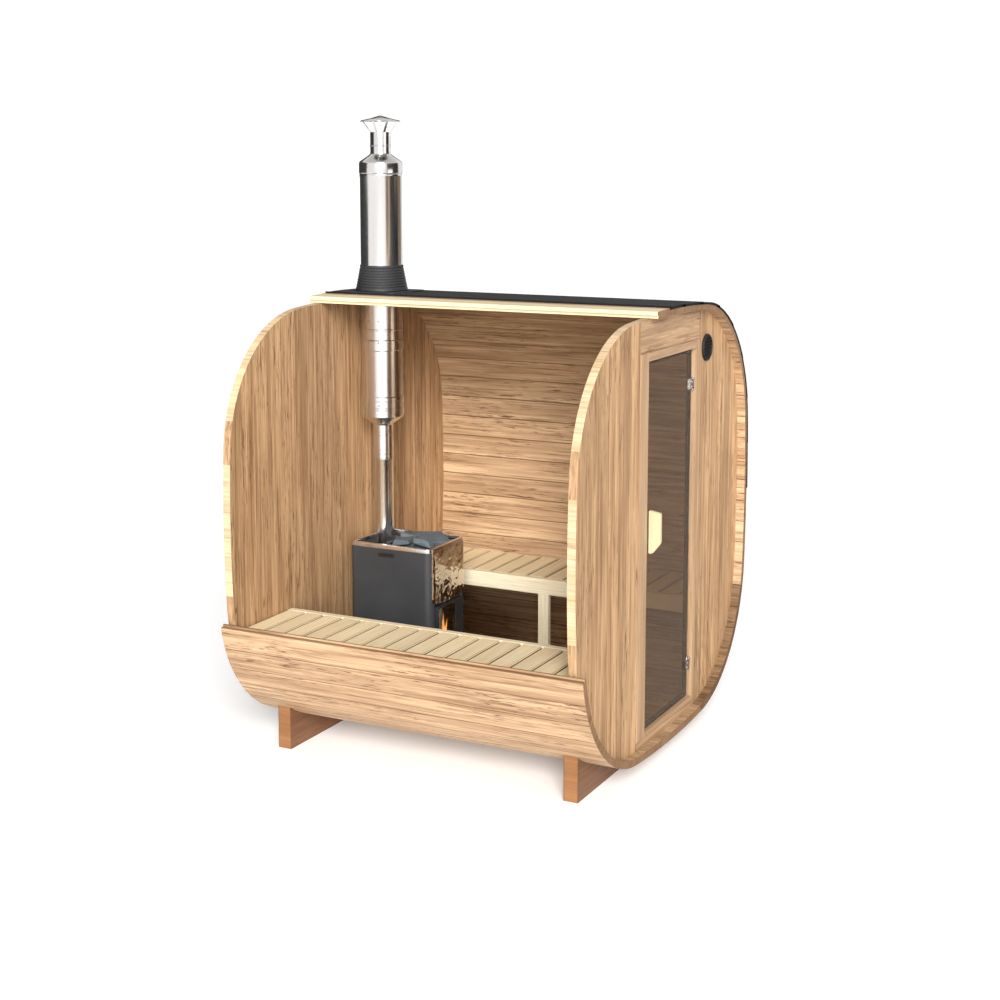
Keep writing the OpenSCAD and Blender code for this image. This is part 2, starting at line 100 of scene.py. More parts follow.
def window_light(name, energy, softness, direction):
    """A far window: a sun lamp with a wide disc, shining along a direction."""
    lamp = bpy.data.lights.new(name, "SUN")
    lamp.energy = energy
    lamp.angle = math.radians(softness)
    window = bpy.data.objects.new(name, lamp)
    window.rotation_euler = Vector(direction).to_track_quat("-Z", "Y").to_euler()
    scene.collection.objects.link(window)
    return window


big_window = window_light("big_window", 4.4, 26, (0.80, 0.44, -0.45))
window_light("low_window", 1.3, 16, (0.90, 0.42, -0.11))

fill = bpy.data.lights.new("front_fill", "AREA")
fill.shape = "RECTANGLE"
fill.size = 3.5
fill.size_y = 3.0
fill.energy = 60
front = bpy.data.objects.new("front_fill", fill)
front.location = (-1.0, -7.0, 2.5)
front.rotation_euler = (Vector((0.2, 0, 1.1)) - front.location).to_track_quat("-Z", "Y").to_euler()
scene.collection.objects.link(front)


def screen(name, points, faces, glow, strength):
    """A sheet of even tone that only reflections see."""
    sheet = bpy.data.meshes.new(name)
    sheet.from_pydata(points, [], faces)
    cloth = bpy.data.materials.new(name)
    cloth.use_nodes = True
    sockets = cloth.node_tree.nodes["Principled BSDF"].inputs
    sockets["Base Color"].default_value = (0, 0, 0, 1)
    sockets["Specular IOR Level"].default_value = 0
    sockets["Emission Color"].default_value = (*glow, 1)
    sockets["Emission Strength"].default_value = strength
    sheet.materials.append(cloth)
    hung = bpy.data.objects.new(name, sheet)
    hung.visible_camera = hung.visible_diffuse = hung.visible_shadow = hung.visible_transmission = False
    scene.collection.objects.link(hung)


flag_radius, flag_height, flag_panels = 7.5, 7.0, 24
for label, start, end, tone in (("right_flag", -117, -37, 0.02), ("left_flag", 16, 128, 0.05)):
    turns = [math.radians(start + (end - start) * i / flag_panels) for i in range(flag_panels + 1)]
    screen(label,
           [(flag_radius * math.cos(a), flag_radius * math.sin(a), z)
            for z in (0.0, flag_height) for a in turns],
           [(i, i + 1, i + flag_panels + 2, i + flag_panels + 1) for i in range(flag_panels)],
           (1, 1, 1), tone)
screen("floor_cloth", [(-1.2, -12, 0.002), (20, -12, 0.002), (20, -0.98, 0.002), (-1.2, -0.98, 0.002)],
       [(0, 1, 2, 3)], (1.0, 0.76, 0.58), 0.26)

floor_half = 400
floor_mesh = bpy.data.meshes.new("studio_floor")
floor_mesh.from_pydata(
    [(-floor_half, -floor_half, 0), (floor_half, -floor_half, 0),
     (floor_half, floor_half, 0), (-floor_half, floor_half, 0)], [], [(0, 1, 2, 3)])
studio_floor = bpy.data.objects.new("studio_floor", floor_mesh)
scene.collection.objects.link(studio_floor)
floor_paint = bpy.data.materials.new("studio_floor")
floor_paint.use_nodes = True
floor_shader = floor_paint.node_tree.nodes["Principled BSDF"]
floor_shader.inputs["Base Color"].default_value = (0.96, 0.96, 0.96, 1)
floor_shader.inputs["Roughness"].default_value = 0.75
floor_shader.inputs["Emission Color"].default_value = (1, 1, 1, 1)
floor_shader.inputs["Emission Strength"].default_value = 0.12
floor_mesh.materials.append(floor_paint)

# ---------------------------------------------------------------- staves of the shell
# The shell is laid up from tongue-and-groove staves of heat-treated timber, 36 mm thick and
# about 120 mm wide, bent round the end walls. The upper half of the near side is left out, and
# the last stave of the roof shows fresh, pale wood where it was cut.
flat_radius = 5.8
corner_radius = 0.677
stave_thick = 0.036
stave_pitch = 0.122
shell_low, shell_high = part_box("floor_staves")[0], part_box("far_side_staves")[1]
shell_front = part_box("floor_staves")[0].y
shell_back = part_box("floor_staves")[1].y
half_width = shell_high.x - stave_thick
half_height = (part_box("roof_staves")[1].z - shell_low.z) / 2 - stave_thick
middle_z = shell_low.z + stave_thick + half_height
roof_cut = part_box("roof_staves")[0].x
open_cut_angle = math.radians(190)
side_centre = half_width - flat_radius
top_centre = half_height - flat_radius


def corner_centre():
    """Where a corner circle touches a side flat and a top flat from inside."""
    slope = side_centre / top_centre
    line = (top_centre ** 2 - side_centre ** 2) / (2 * top_centre)
    a = 1 + slope ** 2
    b = 2 * slope * (line - top_centre)
    c = (line - top_centre) ** 2 - (flat_radius - corner_radius) ** 2
    x = (math.sqrt(b * b - 4 * a * c) - b) / (2 * a)
    return x, slope * x + line


corner_x, corner_z = corner_centre()
side_angle = math.atan2(corner_z, corner_x - side_centre)
top_angle = math.atan2(corner_z - top_centre, corner_x)


def new_piece(name, mesh):
    piece = bpy.data.objects.new(name, mesh)
    scene.collection.objects.link(piece)
    return piece


def made(name, bm, *materials, crease=32):
    """A finished object from a bmesh: faces turned outwards, smooth except over sharp edges."""
    bmesh.ops.recalc_face_normals(bm, faces=bm.faces)
    mesh = bpy.data.meshes.new(name)
    bm.to_mesh(mesh)
    bm.free()
    for material in materials:
        mesh.materials.append(material)
    mesh.shade_smooth()
    mesh.set_sharp_from_angle(angle=math.radians(crease))
    return new_piece(name, mesh)


def settled(piece, body, finish, *solids):
    """Rides a piece on its body and lets it stand for plain solids; its finish argument is not used."""
    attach(piece, body)
    if solids:
        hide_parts(*solids)


def prism(bm, outline, y0, y1, slot=0, cap_slot=None):
    """A closed outline in the XZ plane, drawn out along Y."""
    near = [bm.verts.new((x, y0, z)) for x, z in outline]
    far = [bm.verts.new((x, y1, z)) for x, z in outline]
    for i in range(len(outline)):
        j = (i + 1) % len(outline)
        bm.faces.new((near[i], near[j], far[j], far[i])).material_index = slot
    caps = [bm.faces.new(near), bm.faces.new(far[::-1])]
    for cap in caps:
        cap.material_index = slot if cap_slot is None else cap_slot
    return near + far


def mark_ends(piece, axis):
    """Marks the faces that look along an axis, so that they get the row's end finish: end grain on the
    staves, painted shade on the long sides of the bench slats.
    """
    flags = piece.data.attributes.new("end", "BOOLEAN", "FACE")
    flags.data.foreach_set("value", [abs(p.normal[axis]) > 0.9 for p in piece.data.polygons])


def shader_group(name, inputs, outputs):
    """An empty shader node group with named sockets, its own ends, and a node maker."""
    group = bpy.data.node_groups.new(name, "ShaderNodeTree")
    for label, kind, value in inputs:
        socket = group.interface.new_socket(name=label, in_out="INPUT", socket_type=kind)
        if value is not None:
            socket.default_value = value
    for label, kind in outputs:
        group.interface.new_socket(name=label, in_out="OUTPUT", socket_type=kind)
    return group, group.nodes.new("NodeGroupInput"), group.nodes.new("NodeGroupOutput")


def add_node(tree, kind, links=(), **settings):
    """A node with its settings, and its inputs given as values or as sockets to link from."""
    node = tree.nodes.new(kind)
    for key, value in settings.items():
        setattr(node, key, value)
    for name, value in dict(links).items():
        if isinstance(value, bpy.types.NodeSocket):
            tree.links.new(value, node.inputs[name])
        else:
            node.inputs[name].default_value = value
    return node


def noise_field(tree, vector, stretch, scale=1.0, detail=2.0, rough=0.5, twist=0.0):
    moved = add_node(tree, "ShaderNodeVectorMath", {0: vector, 1: stretch}, operation="MULTIPLY")
    return add_node(tree, "ShaderNodeTexNoise", {
        "Vector": moved.outputs[0], "Scale": scale, "Detail": detail, "Roughness": rough,
        "Distortion": twist}).outputs["Fac"]


def spread(tree, value, start, end, low=0.0, high=1.0):
    return add_node(tree, "ShaderNodeMapRange", {
        "Value": value, "From Min": start, "From Max": end, "To Min": low, "To Max": high}).outputs[0]


def sums(tree, operation, a, b):
    return add_node(tree, "ShaderNodeMath", {0: a, 1: b}, operation=operation).outputs[0]


def blended(tree, factor, a, b, mode="MIX"):
    node = add_node(tree, "ShaderNodeMix", data_type="RGBA", blend_type=mode)
    for name, value in ((0, factor), (6, a), (7, b)):
        if isinstance(value, bpy.types.NodeSocket):
            tree.links.new(value, node.inputs[name])
        else:
            node.inputs[name].default_value = value
    return node.outputs[2]


def wood_group():
    """Grain that runs along the X of its Vector: broad bands, dark streaks, fibre and short flecks."""
    group, ins, outs = shader_group(
        "wood_figure",
        [("Vector", "NodeSocketVector", None), ("Board", "NodeSocketFloat", 0.0),
         ("Pale", "NodeSocketColor", (0.7, 0.45, 0.25, 1)), ("Deep", "NodeSocketColor", (0.5, 0.3, 0.15, 1)),
         ("Fleck", "NodeSocketColor", (0.2, 0.1, 0.04, 1)), ("Streaks", "NodeSocketFloat", 0.6),
         ("Flecks", "NodeSocketFloat", 0.7), ("Board Change", "NodeSocketFloat", 0.16)],
        [("Color", "NodeSocketColor"), ("Roughness", "NodeSocketFloat"), ("Height", "NodeSocketFloat")])
    get = ins.outputs
    shift = add_node(group, "ShaderNodeVectorMath", {0: (17.3, 9.1, 13.7), "Scale": get["Board"]},
                     operation="SCALE")
    place = add_node(group, "ShaderNodeVectorMath", {0: get["Vector"], 1: shift.outputs[0]},
                     operation="ADD").outputs[0]
    broad = noise_field(group, place, (0.9, 11, 11), detail=2, twist=0.3)
    bands = noise_field(group, place, (1.1, 42, 42), detail=3, rough=0.6, twist=0.3)
    fibre = noise_field(group, place, (5, 230, 230), detail=2)
    thin = noise_field(group, place, (2.2, 70, 70), detail=4, rough=0.65, twist=0.3)
    short = noise_field(group, place, (10, 120, 120), detail=3, rough=0.6, twist=0.4)
    clump = noise_field(group, place, (2.0, 9, 9), detail=1)
    tone = sums(group, "ADD", sums(group, "MULTIPLY", broad, 0.42), sums(group, "MULTIPLY", bands, 0.58))
    tone = spread(group, tone, 0.39, 0.62)
    color = blended(group, tone, get["Pale"], get["Deep"])
    fine = spread(group, fibre, 0.3, 0.7, 1.10, 0.88)
    change = sums(group, "MULTIPLY", sums(group, "SUBTRACT", get["Board"], 0.5), get["Board Change"])
    gain = sums(group, "MULTIPLY", fine, sums(group, "ADD", change, 1.0))
    grey = add_node(group, "ShaderNodeCombineColor", {0: gain, 1: gain, 2: gain}).outputs[0]
    color = blended(group, 1.0, color, grey, "MULTIPLY")
    streak = sums(group, "MULTIPLY", spread(group, thin, 0.52, 0.64), get["Streaks"])
    color = blended(group, streak, color, blended(group, 0.55, get["Deep"], get["Fleck"]))
    mask = sums(group, "MULTIPLY", spread(group, short, 0.55, 0.65), spread(group, clump, 0.40, 0.58))
    mask = sums(group, "MULTIPLY", mask, get["Flecks"])
    color = blended(group, mask, color, get["Fleck"])
    rough = sums(group, "ADD", spread(group, fibre, 0.3, 0.7, 0.46, 0.60), sums(group, "MULTIPLY", mask, 0.1))
    height = sums(group, "SUBTRACT", sums(group, "MULTIPLY", fibre, 0.6), sums(group, "MULTIPLY", mask, 0.5))
    for name, value in (("Color", color), ("Roughness", rough), ("Height", height)):
        group.links.new(value, outs.inputs[name])
    return group


wood_figure = wood_group()
grain_turns = {"x": (0, 0, 0), "y": (0, 0, -math.pi / 2), "z": (0, math.pi / 2, 0)}


def wood(name, grain, pale, deep, fleck=(0.13, 0.055, 0.02), flecks=0.95, streaks=0.80, board_change=0.20,
         board=None, bump=0.25):
    """A wood finish with its grain along an axis, or "out" from the middle of the shell's ends."""
    material = bpy.data.materials.new(name)
    material.use_nodes = True
    tree = material.node_tree
    shader = tree.nodes["Principled BSDF"]
    place = add_node(tree, "ShaderNodeTexCoord").outputs["Object"]
    if grain == "out":
        apart = add_node(tree, "ShaderNodeSeparateXYZ", {0: place}).outputs
        rise = sums(tree, "SUBTRACT", apart["Z"], middle_z)
        around = sums(tree, "MULTIPLY", sums(tree, "ARCTAN2", rise, apart["X"]), half_width)
        turned = add_node(tree, "ShaderNodeCombineXYZ", {"Y": around}).outputs[0]
    else:
        turned = add_node(tree, "ShaderNodeMapping", {"Vector": place,
                                                      "Rotation": grain_turns[grain]}).outputs[0]
    figure = add_node(tree, "ShaderNodeGroup", node_tree=wood_figure)
    tree.links.new(turned, figure.inputs["Vector"])
    figure.inputs["Pale"].default_value = (*pale, 1)
    figure.inputs["Deep"].default_value = (*deep, 1)
    figure.inputs["Fleck"].default_value = (*fleck, 1)
    figure.inputs["Flecks"].default_value = flecks
    figure.inputs["Streaks"].default_value = streaks
    figure.inputs["Board Change"].default_value = board_change
    if board == "attribute":
        number = add_node(tree, "ShaderNodeAttribute", attribute_name="board").outputs["Fac"]
        tree.links.new(number, figure.inputs["Board"])
        # Joint faces are darkened most of the way to the fleck colour: painted shade in the joints, with some
        # dirt.
        joint = add_node(tree, "ShaderNodeAttribute", attribute_name="joint").outputs["Fac"]
        joint_shade_and_dirt = blended(tree, sums(tree, "MULTIPLY", joint, 0.7), figure.outputs["Color"], (*fleck, 1))
        tree.links.new(joint_shade_and_dirt, shader.inputs["Base Color"])
    else:
        tree.links.new(figure.outputs["Color"], shader.inputs["Base Color"])
    tree.links.new(figure.outputs["Roughness"], shader.inputs["Roughness"])
    lift = add_node(tree, "ShaderNodeBump", {"Strength": bump, "Distance": 0.001,
                                             "Height": figure.outputs["Height"]})
    tree.links.new(lift.outputs[0], shader.inputs["Normal"])
    return material


shell_wood = wood("shell_wood", "y", (0.570, 0.383, 0.222), (0.325, 0.190, 0.095), board="attribute")
shell_end = wood("shell_end_grain", "out", (0.55, 0.375, 0.215), (0.36, 0.21, 0.105), flecks=0.3, streaks=0.8,
                 board="attribute", board_change=0.14)


def row_tree():
    """Lays one board after another: straight along Shift, or round the Y axis through Start."""
    tree = bpy.data.node_groups.new("row_of_boards", "GeometryNodeTree")
    for label, kind in (("Board", "Object"), ("Count", "Int"), ("Start", "Vector"), ("Shift", "Vector"),
                        ("First Angle", "Float"), ("Angle Step", "Float"), ("Seed", "Int"),
                        ("Face Finish", "Material"), ("End Finish", "Material")):
        tree.interface.new_socket(name=label, in_out="INPUT", socket_type="NodeSocket" + kind)
    tree.interface.new_socket(name="Geometry", in_out="OUTPUT", socket_type="NodeSocketGeometry")
    ins = tree.nodes.new("NodeGroupInput").outputs
    outs = tree.nodes.new("NodeGroupOutput")
    line = add_node(tree, "GeometryNodeMeshLine", {
        "Count": ins["Count"], "Start Location": ins["Start"], "Offset": ins["Shift"]})
    index = add_node(tree, "GeometryNodeInputIndex").outputs[0]
    angle = add_node(tree, "ShaderNodeMath", {0: index, 1: ins["Angle Step"], 2: ins["First Angle"]},
                     operation="MULTIPLY_ADD").outputs[0]
    down = add_node(tree, "ShaderNodeMath", {0: angle, 1: -1.0}, operation="MULTIPLY").outputs[0]
    turn = add_node(tree, "ShaderNodeCombineXYZ", {"Y": down}).outputs[0]
    board = add_node(tree, "GeometryNodeObjectInfo", {"Object": ins["Board"], "As Instance": True})
    laid = add_node(tree, "GeometryNodeInstanceOnPoints", {
        "Points": line.outputs[0], "Instance": board.outputs["Geometry"], "Rotation": turn})
    number = add_node(tree, "FunctionNodeRandomValue", data_type="FLOAT")
    tree.links.new(index, number.inputs["ID"])
    tree.links.new(ins["Seed"], number.inputs["Seed"])
    stored = add_node(tree, "GeometryNodeStoreNamedAttribute", {
        "Geometry": laid.outputs[0], "Name": "board"}, data_type="FLOAT", domain="INSTANCE")
    tree.links.new(number.outputs[1], stored.inputs["Value"])
    real = add_node(tree, "GeometryNodeRealizeInstances", {"Geometry": stored.outputs[0]})
    faced = add_node(tree, "GeometryNodeSetMaterial", {"Geometry": real.outputs[0],
                                                       "Material": ins["Face Finish"]})
    is_end = add_node(tree, "GeometryNodeInputNamedAttribute", {"Name": "end"},
                      data_type="BOOLEAN").outputs[0]
    ended = add_node(tree, "GeometryNodeSetMaterial", {
        "Geometry": faced.outputs[0], "Selection": is_end, "Material": ins["End Finish"]})
    tree.links.new(ended.outputs[0], outs.inputs[0])
    return tree


row_of_boards = row_tree()


def lay_row(name, board, count, face, end, start=(0, 0, 0), shift=(0, 0, 0), first=0.0, step=0.0, seed=1):
    """Lays copies of a board and gives the result as one plain mesh."""
    holder = new_piece(name + "_row", bpy.data.meshes.new(name + "_row"))
    row = holder.modifiers.new("row", "NODES")
    row.node_group = row_of_boards
    values = {"Board": board, "Count": count, "Start": start, "Shift": shift, "First Angle": first,
              "Angle Step": step, "Seed": seed, "Face Finish": face, "End Finish": end}
    for socket in row_of_boards.interface.items_tree:
        if socket.in_out == "INPUT":
            row[socket.identifier] = values[socket.name]
    holder.update_tag()
    shown = holder.evaluated_get(bpy.context.evaluated_depsgraph_get())
    mesh = bpy.data.meshes.new_from_object(shown)
    mesh.name = name
    for scrap in (holder, board):
        bpy.data.objects.remove(scrap)
    return new_piece(name, mesh)


def stave_outline(radius, width):
    """Cross-section of one stave about the Y axis, from angle 0: the tongue first, the groove last."""
    chamfer = 0.0025
    gap = 0.0004
    inner_step = 0.0065
    edge = width - gap
    steps = 6
    across = [chamfer + (edge - 2 * chamfer) * i / steps for i in range(steps + 1)]
    points = [(s, 0) for s in across]
    points += [(edge, chamfer), (edge, 0.0185), (edge - 0.0095, 0.0195), (edge - 0.0110, 0.0210),
               (edge - 0.0110, 0.0255), (edge - 0.0095, 0.0270), (edge - inner_step, 0.0280),
               (edge - inner_step, stave_thick - chamfer)]
    points += [(s - inner_step, stave_thick) for s in reversed(across)]
    points += [(-inner_step, stave_thick - chamfer), (-inner_step, 0.0273), (-0.0090, 0.0265),
               (-0.0103, 0.0250), (-0.0103, 0.0215), (-0.0090, 0.0200), (0, 0.0192), (0, chamfer)]
    bend = radius + stave_thick / 2
    outline = []
    for s, depth in points:
        r = radius + stave_thick - depth
        outline.append((r * math.cos(s / bend), r * math.sin(s / bend)))
    return outline


def stave_arc(name, centre, radius, first, last, seed):
    """All the staves of one flat or corner, side by side round its centre."""
    length = (last - first) * (radius + stave_thick / 2)
    count = round(length / stave_pitch)
    bm = bmesh.new()
    prism(bm, stave_outline(radius, length / count), shell_front, shell_back)
    board = made(name + "_board", bm)
    mark_ends(board, 1)
    # Faces that don't look straight out or in (chamfers, tongue, groove and the stave ends) are flagged as
    # joints, darkened in the finish as painted shade with some dirt.
    joints = board.data.attributes.new("joint", "FLOAT", "FACE")
    joints.data.foreach_set("value", [
        float(abs(p.normal.dot(Vector((p.center.x, 0,
                                       p.center.z)).normalized())) < 0.96) for p in board.data.polygons])
    piece = lay_row(name, board, count, shell_wood, shell_end, start=(centre[0], 0, centre[1]),
                    first=first, step=(last - first) / count, seed=seed)
    return piece


def drilled(piece, cutter):
    """The piece with the cutter's solid taken out of it."""
    cut = piece.modifiers.new("cut", "BOOLEAN")
    cut.operation = "DIFFERENCE"
    cut.solver = "EXACT"
    cut.object = cutter
    shown = piece.evaluated_get(bpy.context.evaluated_depsgraph_get())
    mesh = bpy.data.meshes.new_from_object(shown)
    piece.modifiers.remove(cut)
    old = piece.data
    piece.data = mesh
    mesh.name = old.name
    bpy.data.objects.remove(cutter)
    return piece


low_centre = middle_z - corner_z
far_staves = round((top_angle - side_angle) * (corner_radius + stave_thick / 2) / stave_pitch)
stave_turn = (top_angle - side_angle) / far_staves
seat_angle = math.asin((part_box("far_bench_slats")[0].z - low_centre) / corner_radius)
split_angle = -top_angle + round((seat_angle + top_angle) / stave_turn) * stave_turn
for part, stands_for, centre, radius, first, last, seed in (
        ("near_lower", "near_lower_staves", (-corner_x, low_centre), corner_radius,
         open_cut_angle, math.pi + top_angle, 11),
        ("floor", "floor_staves", (0, middle_z - top_centre), flat_radius,
         math.pi + top_angle, 2 * math.pi - top_angle, 12),
        ("far_lower", "far_lower_staves", (corner_x, low_centre), corner_radius, -top_angle, split_angle, 13),
        ("far_seat", None, (corner_x, low_centre), corner_radius, split_angle, -side_angle, 17),
        ("far_side", "far_side_staves", (side_centre, middle_z), flat_radius, -side_angle, side_angle, 14),
        ("far_upper", "far_upper_staves", (corner_x, middle_z + corner_z), corner_radius,
         side_angle, top_angle, 15)):
    staves = stave_arc(part + "_boards", centre, radius, first, last, seed)
    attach(staves, "sauna")
    if stands_for:
        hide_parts(stands_for)

bench_shade = bpy.data.collections.new("bench_shade")
bench_shade.objects.link(bpy.data.objects["far_lower_boards"])
bench_shade.collection_objects[0].light_linking.link_state = "EXCLUDE"
big_window.light_linking.receiver_collection = bench_shade

roof_cut_angle = math.acos(roof_cut / (flat_radius + stave_thick))
roof_boards = stave_arc("roof_boards", (0, middle_z + top_centre), flat_radius, top_angle, roof_cut_angle, 16)
pipe_low, pipe_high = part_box("insulated_pipe")
flue_x = (pipe_low.x + pipe_high.x) / 2
flue_y = (pipe_low.y + pipe_high.y) / 2
hole_play = 0.003
bm = bmesh.new()
hole_r = (pipe_high.x - pipe_low.x) / 2 + hole_play
bmesh.ops.create_cone(bm, cap_ends=True, segments=64, radius1=hole_r, radius2=hole_r, depth=0.4,
                      matrix=Matrix.Translation((flue_x, flue_y, middle_z + half_height)))
roof_boards = drilled(roof_boards, made("pipe_hole", bm))
cut_wood = wood("cut_stave_wood", "y", (0.86, 0.72, 0.46), (0.76, 0.60, 0.36), flecks=0.1, streaks=0.15)
roof_boards.data.materials.append(cut_wood)
cut_slot = len(roof_boards.data.materials) - 1
cut_start = roof_cut_angle - 0.92 * stave_pitch / flat_radius
for face in roof_boards.data.polygons:
    beside_cut = math.acos(face.center.x / (flat_radius + stave_thick / 2)) > cut_start
    if beside_cut and abs(face.normal.y) < 0.9 and face.normal.z > -0.5:
        face.material_index = cut_slot
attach(roof_boards, "sauna")
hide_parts("roof_staves")

# ---------------------------------------------------------------- end walls
# Each end wall is a row of upright tongue-and-groove planks, sawn to the shell's outline and
# housed in the staves. Level boards close the front wall over and under the door frame.
plank_pitch = 0.122
wall_wood = wood("wall_wood", "z", (0.565, 0.355, 0.185), (0.300, 0.165, 0.075), board="attribute")
wall_edge = wood("wall_edge", "y", (0.66, 0.495, 0.305), (0.52, 0.36, 0.20), flecks=0.1, streaks=0.7,
                 board="attribute", board_change=0.06)
level_wood = wood("level_wood", "x", (0.53, 0.340, 0.192), (0.315, 0.180, 0.090))


def shell_outline():
    """The closed outline of the shell's inside, as points (x, z), going round from the right."""
    arc_steps, flat_steps = 22, 10
    points = []
    for corner, (sx, sz) in enumerate(((1, 1), (-1, 1), (-1, -1), (1, -1))):
        quarter = corner * math.pi / 2
        start = side_angle if corner % 2 == 0 else math.pi / 2 - top_angle
        end = top_angle if corner % 2 == 0 else math.pi / 2 - side_angle
        for i in range(arc_steps + 1):
            angle = quarter + start + (end - start) * i / arc_steps
            points.append((sx * corner_x + corner_radius * math.cos(angle),
                           middle_z + sz * corner_z + corner_radius * math.sin(angle)))
        half = math.pi / 2 - top_angle if corner % 2 == 0 else side_angle
        centre = ((0, middle_z + top_centre), (-side_centre, middle_z),
                  (0, middle_z - top_centre), (side_centre, middle_z))[corner]
        for i in range(1, flat_steps):
            angle = quarter + math.pi / 2 - half + 2 * half * i / flat_steps
            points.append((centre[0] + flat_radius * math.cos(angle),
                           centre[1] + flat_radius * math.sin(angle)))
    return points


def clipped(points, axis, limit, keep_above):
    """The part of a convex outline on one side of a line across an axis."""
    kept = []
    for i, here in enumerate(points):
        there = points[(i + 1) % len(points)]
        inside = (here[axis] >= limit) == keep_above
        if inside:
            kept.append(here)
        if inside != ((there[axis] >= limit) == keep_above):
            t = (limit - here[axis]) / (there[axis] - here[axis])
            kept.append((here[0] + t * (there[0] - here[0]), here[1] + t * (there[1] - here[1])))
    return kept


def wall_boards(name, y0, y1, bounds, axis, pitch, origin, materials):
    """Boards between two joints each, cut to the outline; their long edges are chamfered."""
    joint_gap = 0.0003
    chamfer = 0.0020
    area = shell_outline()
    for side, (limit, above) in bounds.items():
        area = clipped(area, side[0], limit, above)
    low_end = min(p[axis] for p in area)
    high_end = max(p[axis] for p in area)
    first = math.floor((low_end - origin) / pitch + 1e-6)
    last = math.ceil((high_end - origin) / pitch - 1e-6)
    bm = bmesh.new()
    number = bm.faces.layers.float.new("board")
    eased = bm.faces.layers.float.new("joint")
    draw = random.Random(name)
    for i in range(first, last):
        a = max(low_end, origin + i * pitch) + joint_gap
        b = min(high_end, origin + (i + 1) * pitch) - joint_gap
        if b - a < chamfer * 2:
            continue
        earlier = set(bm.faces)
        verts = prism(bm, clipped(clipped(area, axis, a, True), axis, b, False), y0, y1)
        long_edges = []
        for edge in {e for v in verts for e in v.link_edges}:
            one, two = (v.co for v in edge.verts)
            across = (one.x, two.x) if axis == 0 else (one.z, two.z)
            if abs(one.y - two.y) < 1e-6 and abs(across[0] - across[1]) < 1e-6 and (
                    abs(across[0] - a) < 1e-5 or abs(across[0] - b) < 1e-5):
                long_edges.append(edge)
        bmesh.ops.bevel(bm, geom=long_edges, offset=chamfer, segments=1, affect="EDGES")
        bm.normal_update()
        value = draw.random()
        for face in bm.faces:
            if face not in earlier:
                face[number] = value
                # Chamfer faces are flagged as joints, darkened in the finish as painted shade with some dirt.
                face[eased] = float(0.3 < abs(face.normal.y) < 0.97)
                along, centre = face.normal[2 * axis], face.calc_center_median()[2 * axis]
                joint = abs(along) > 0.97 and low_end + 0.01 < centre < high_end - 0.01
                face.material_index = 0 if abs(face.normal.y) > 0.5 or joint else 1
    return made(name, bm, *materials)


wall_y0, wall_y1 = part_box("front_wall_near")[0].y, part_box("front_wall_near")[1].y
back_y0, back_y1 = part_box("back_wall")[0].y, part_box("back_wall")[1].y
frame_low, frame_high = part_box("door_frame")

left_of_door, right_of_door = {(0, "right"): (frame_low.x, False)}, {(0, "left"): (frame_high.x, True)}
across_door = {(0, "left"): (frame_low.x, True), (0, "right"): (frame_high.x, False)}
over_door, under_door = {(1, "bottom"): (frame_high.z, True)}, {(1, "top"): (frame_low.z, False)}
plank_finish, level_finish, level_width = (wall_wood, wall_edge), (level_wood, level_wood), 0.30
for name, stands_for, (y0, y1), bounds, axis, pitch, origin, finish in (
        ("back_planks", "back_wall", (back_y0, back_y1), {}, 0, plank_pitch, 0.0, plank_finish),
        ("near_front_planks", "front_wall_near", (wall_y0, wall_y1), left_of_door, 0,
         plank_pitch, frame_low.x, plank_finish),
        ("far_front_planks", "front_wall_far", (wall_y0, wall_y1), right_of_door, 0,
         plank_pitch, frame_high.x, plank_finish),
        ("header_board", "front_wall_header", (wall_y0, wall_y1), across_door | over_door, 1,
         level_width, frame_high.z, level_finish),
        ("sill_board", "front_wall_sill", (wall_y0, wall_y1), across_door | under_door, 1,
         level_width, frame_low.z, level_finish)):
    boards = wall_boards(name, y0, y1, bounds, axis, pitch, origin, finish)
    settled(boards, "sauna", "wall_wood", stands_for)

# ---------------------------------------------------------------- door
# A toughened, bronze-tinted pane with no leaf frame hangs on two polished clamp hinges, in a
# planed frame let into the wall; a black rubber seal closes the gap behind the glass.
post_wood = wood("post_wood", "z", (0.50, 0.325, 0.190), (0.36, 0.215, 0.112), flecks=0.3, streaks=0.3)
rail_wood = wood("rail_wood", "x", (0.50, 0.325, 0.190), (0.36, 0.215, 0.112), flecks=0.3, streaks=0.3)
frame_edge = 0.045
latch_post = 0.102
bottom_rail = frame_edge / 2
frame_y0, frame_y1 = frame_low.y, frame_high.y


def add_block(bm, low, high, chamfer=0.0, segments=2):
    """A rectangular block between two corners, with all its edges eased."""
    size = [b - a for a, b in zip(low, high)]
    middle = [(a + b) / 2 for a, b in zip(low, high)]
    block = bmesh.ops.create_cube(bm, size=1.0,
                                  matrix=Matrix.Translation(middle) @ Matrix.Diagonal((*size, 1)))
    if chamfer:
        edges = {e for v in block["verts"] for e in v.link_edges}
        bmesh.ops.bevel(bm, geom=list(edges), offset=chamfer, segments=segments, affect="EDGES")


ease = 0.0025
bm = bmesh.new()
add_block(bm, (frame_low.x, frame_y0, frame_low.z), (frame_low.x + latch_post, frame_y1, frame_high.z), ease)
add_block(bm, (frame_high.x - frame_edge, frame_y0, frame_low.z), (frame_high.x, frame_y1, frame_high.z),
          ease)
frame_posts = made("door_frame_posts", bm, post_wood)
settled(frame_posts, "sauna", "frame_wood", "door_frame")

bm = bmesh.new()
rail_x0, rail_x1 = frame_low.x + latch_post, frame_high.x - frame_edge
add_block(bm, (rail_x0, frame_y0, frame_high.z - frame_edge), (rail_x1, frame_y1, frame_high.z), ease)
add_block(bm, (rail_x0, frame_y0, frame_low.z), (rail_x1, frame_y1, frame_low.z + bottom_rail), ease)
frame_rails = made("door_frame_rails", bm, rail_wood)
settled(frame_rails, "sauna", "frame_wood")


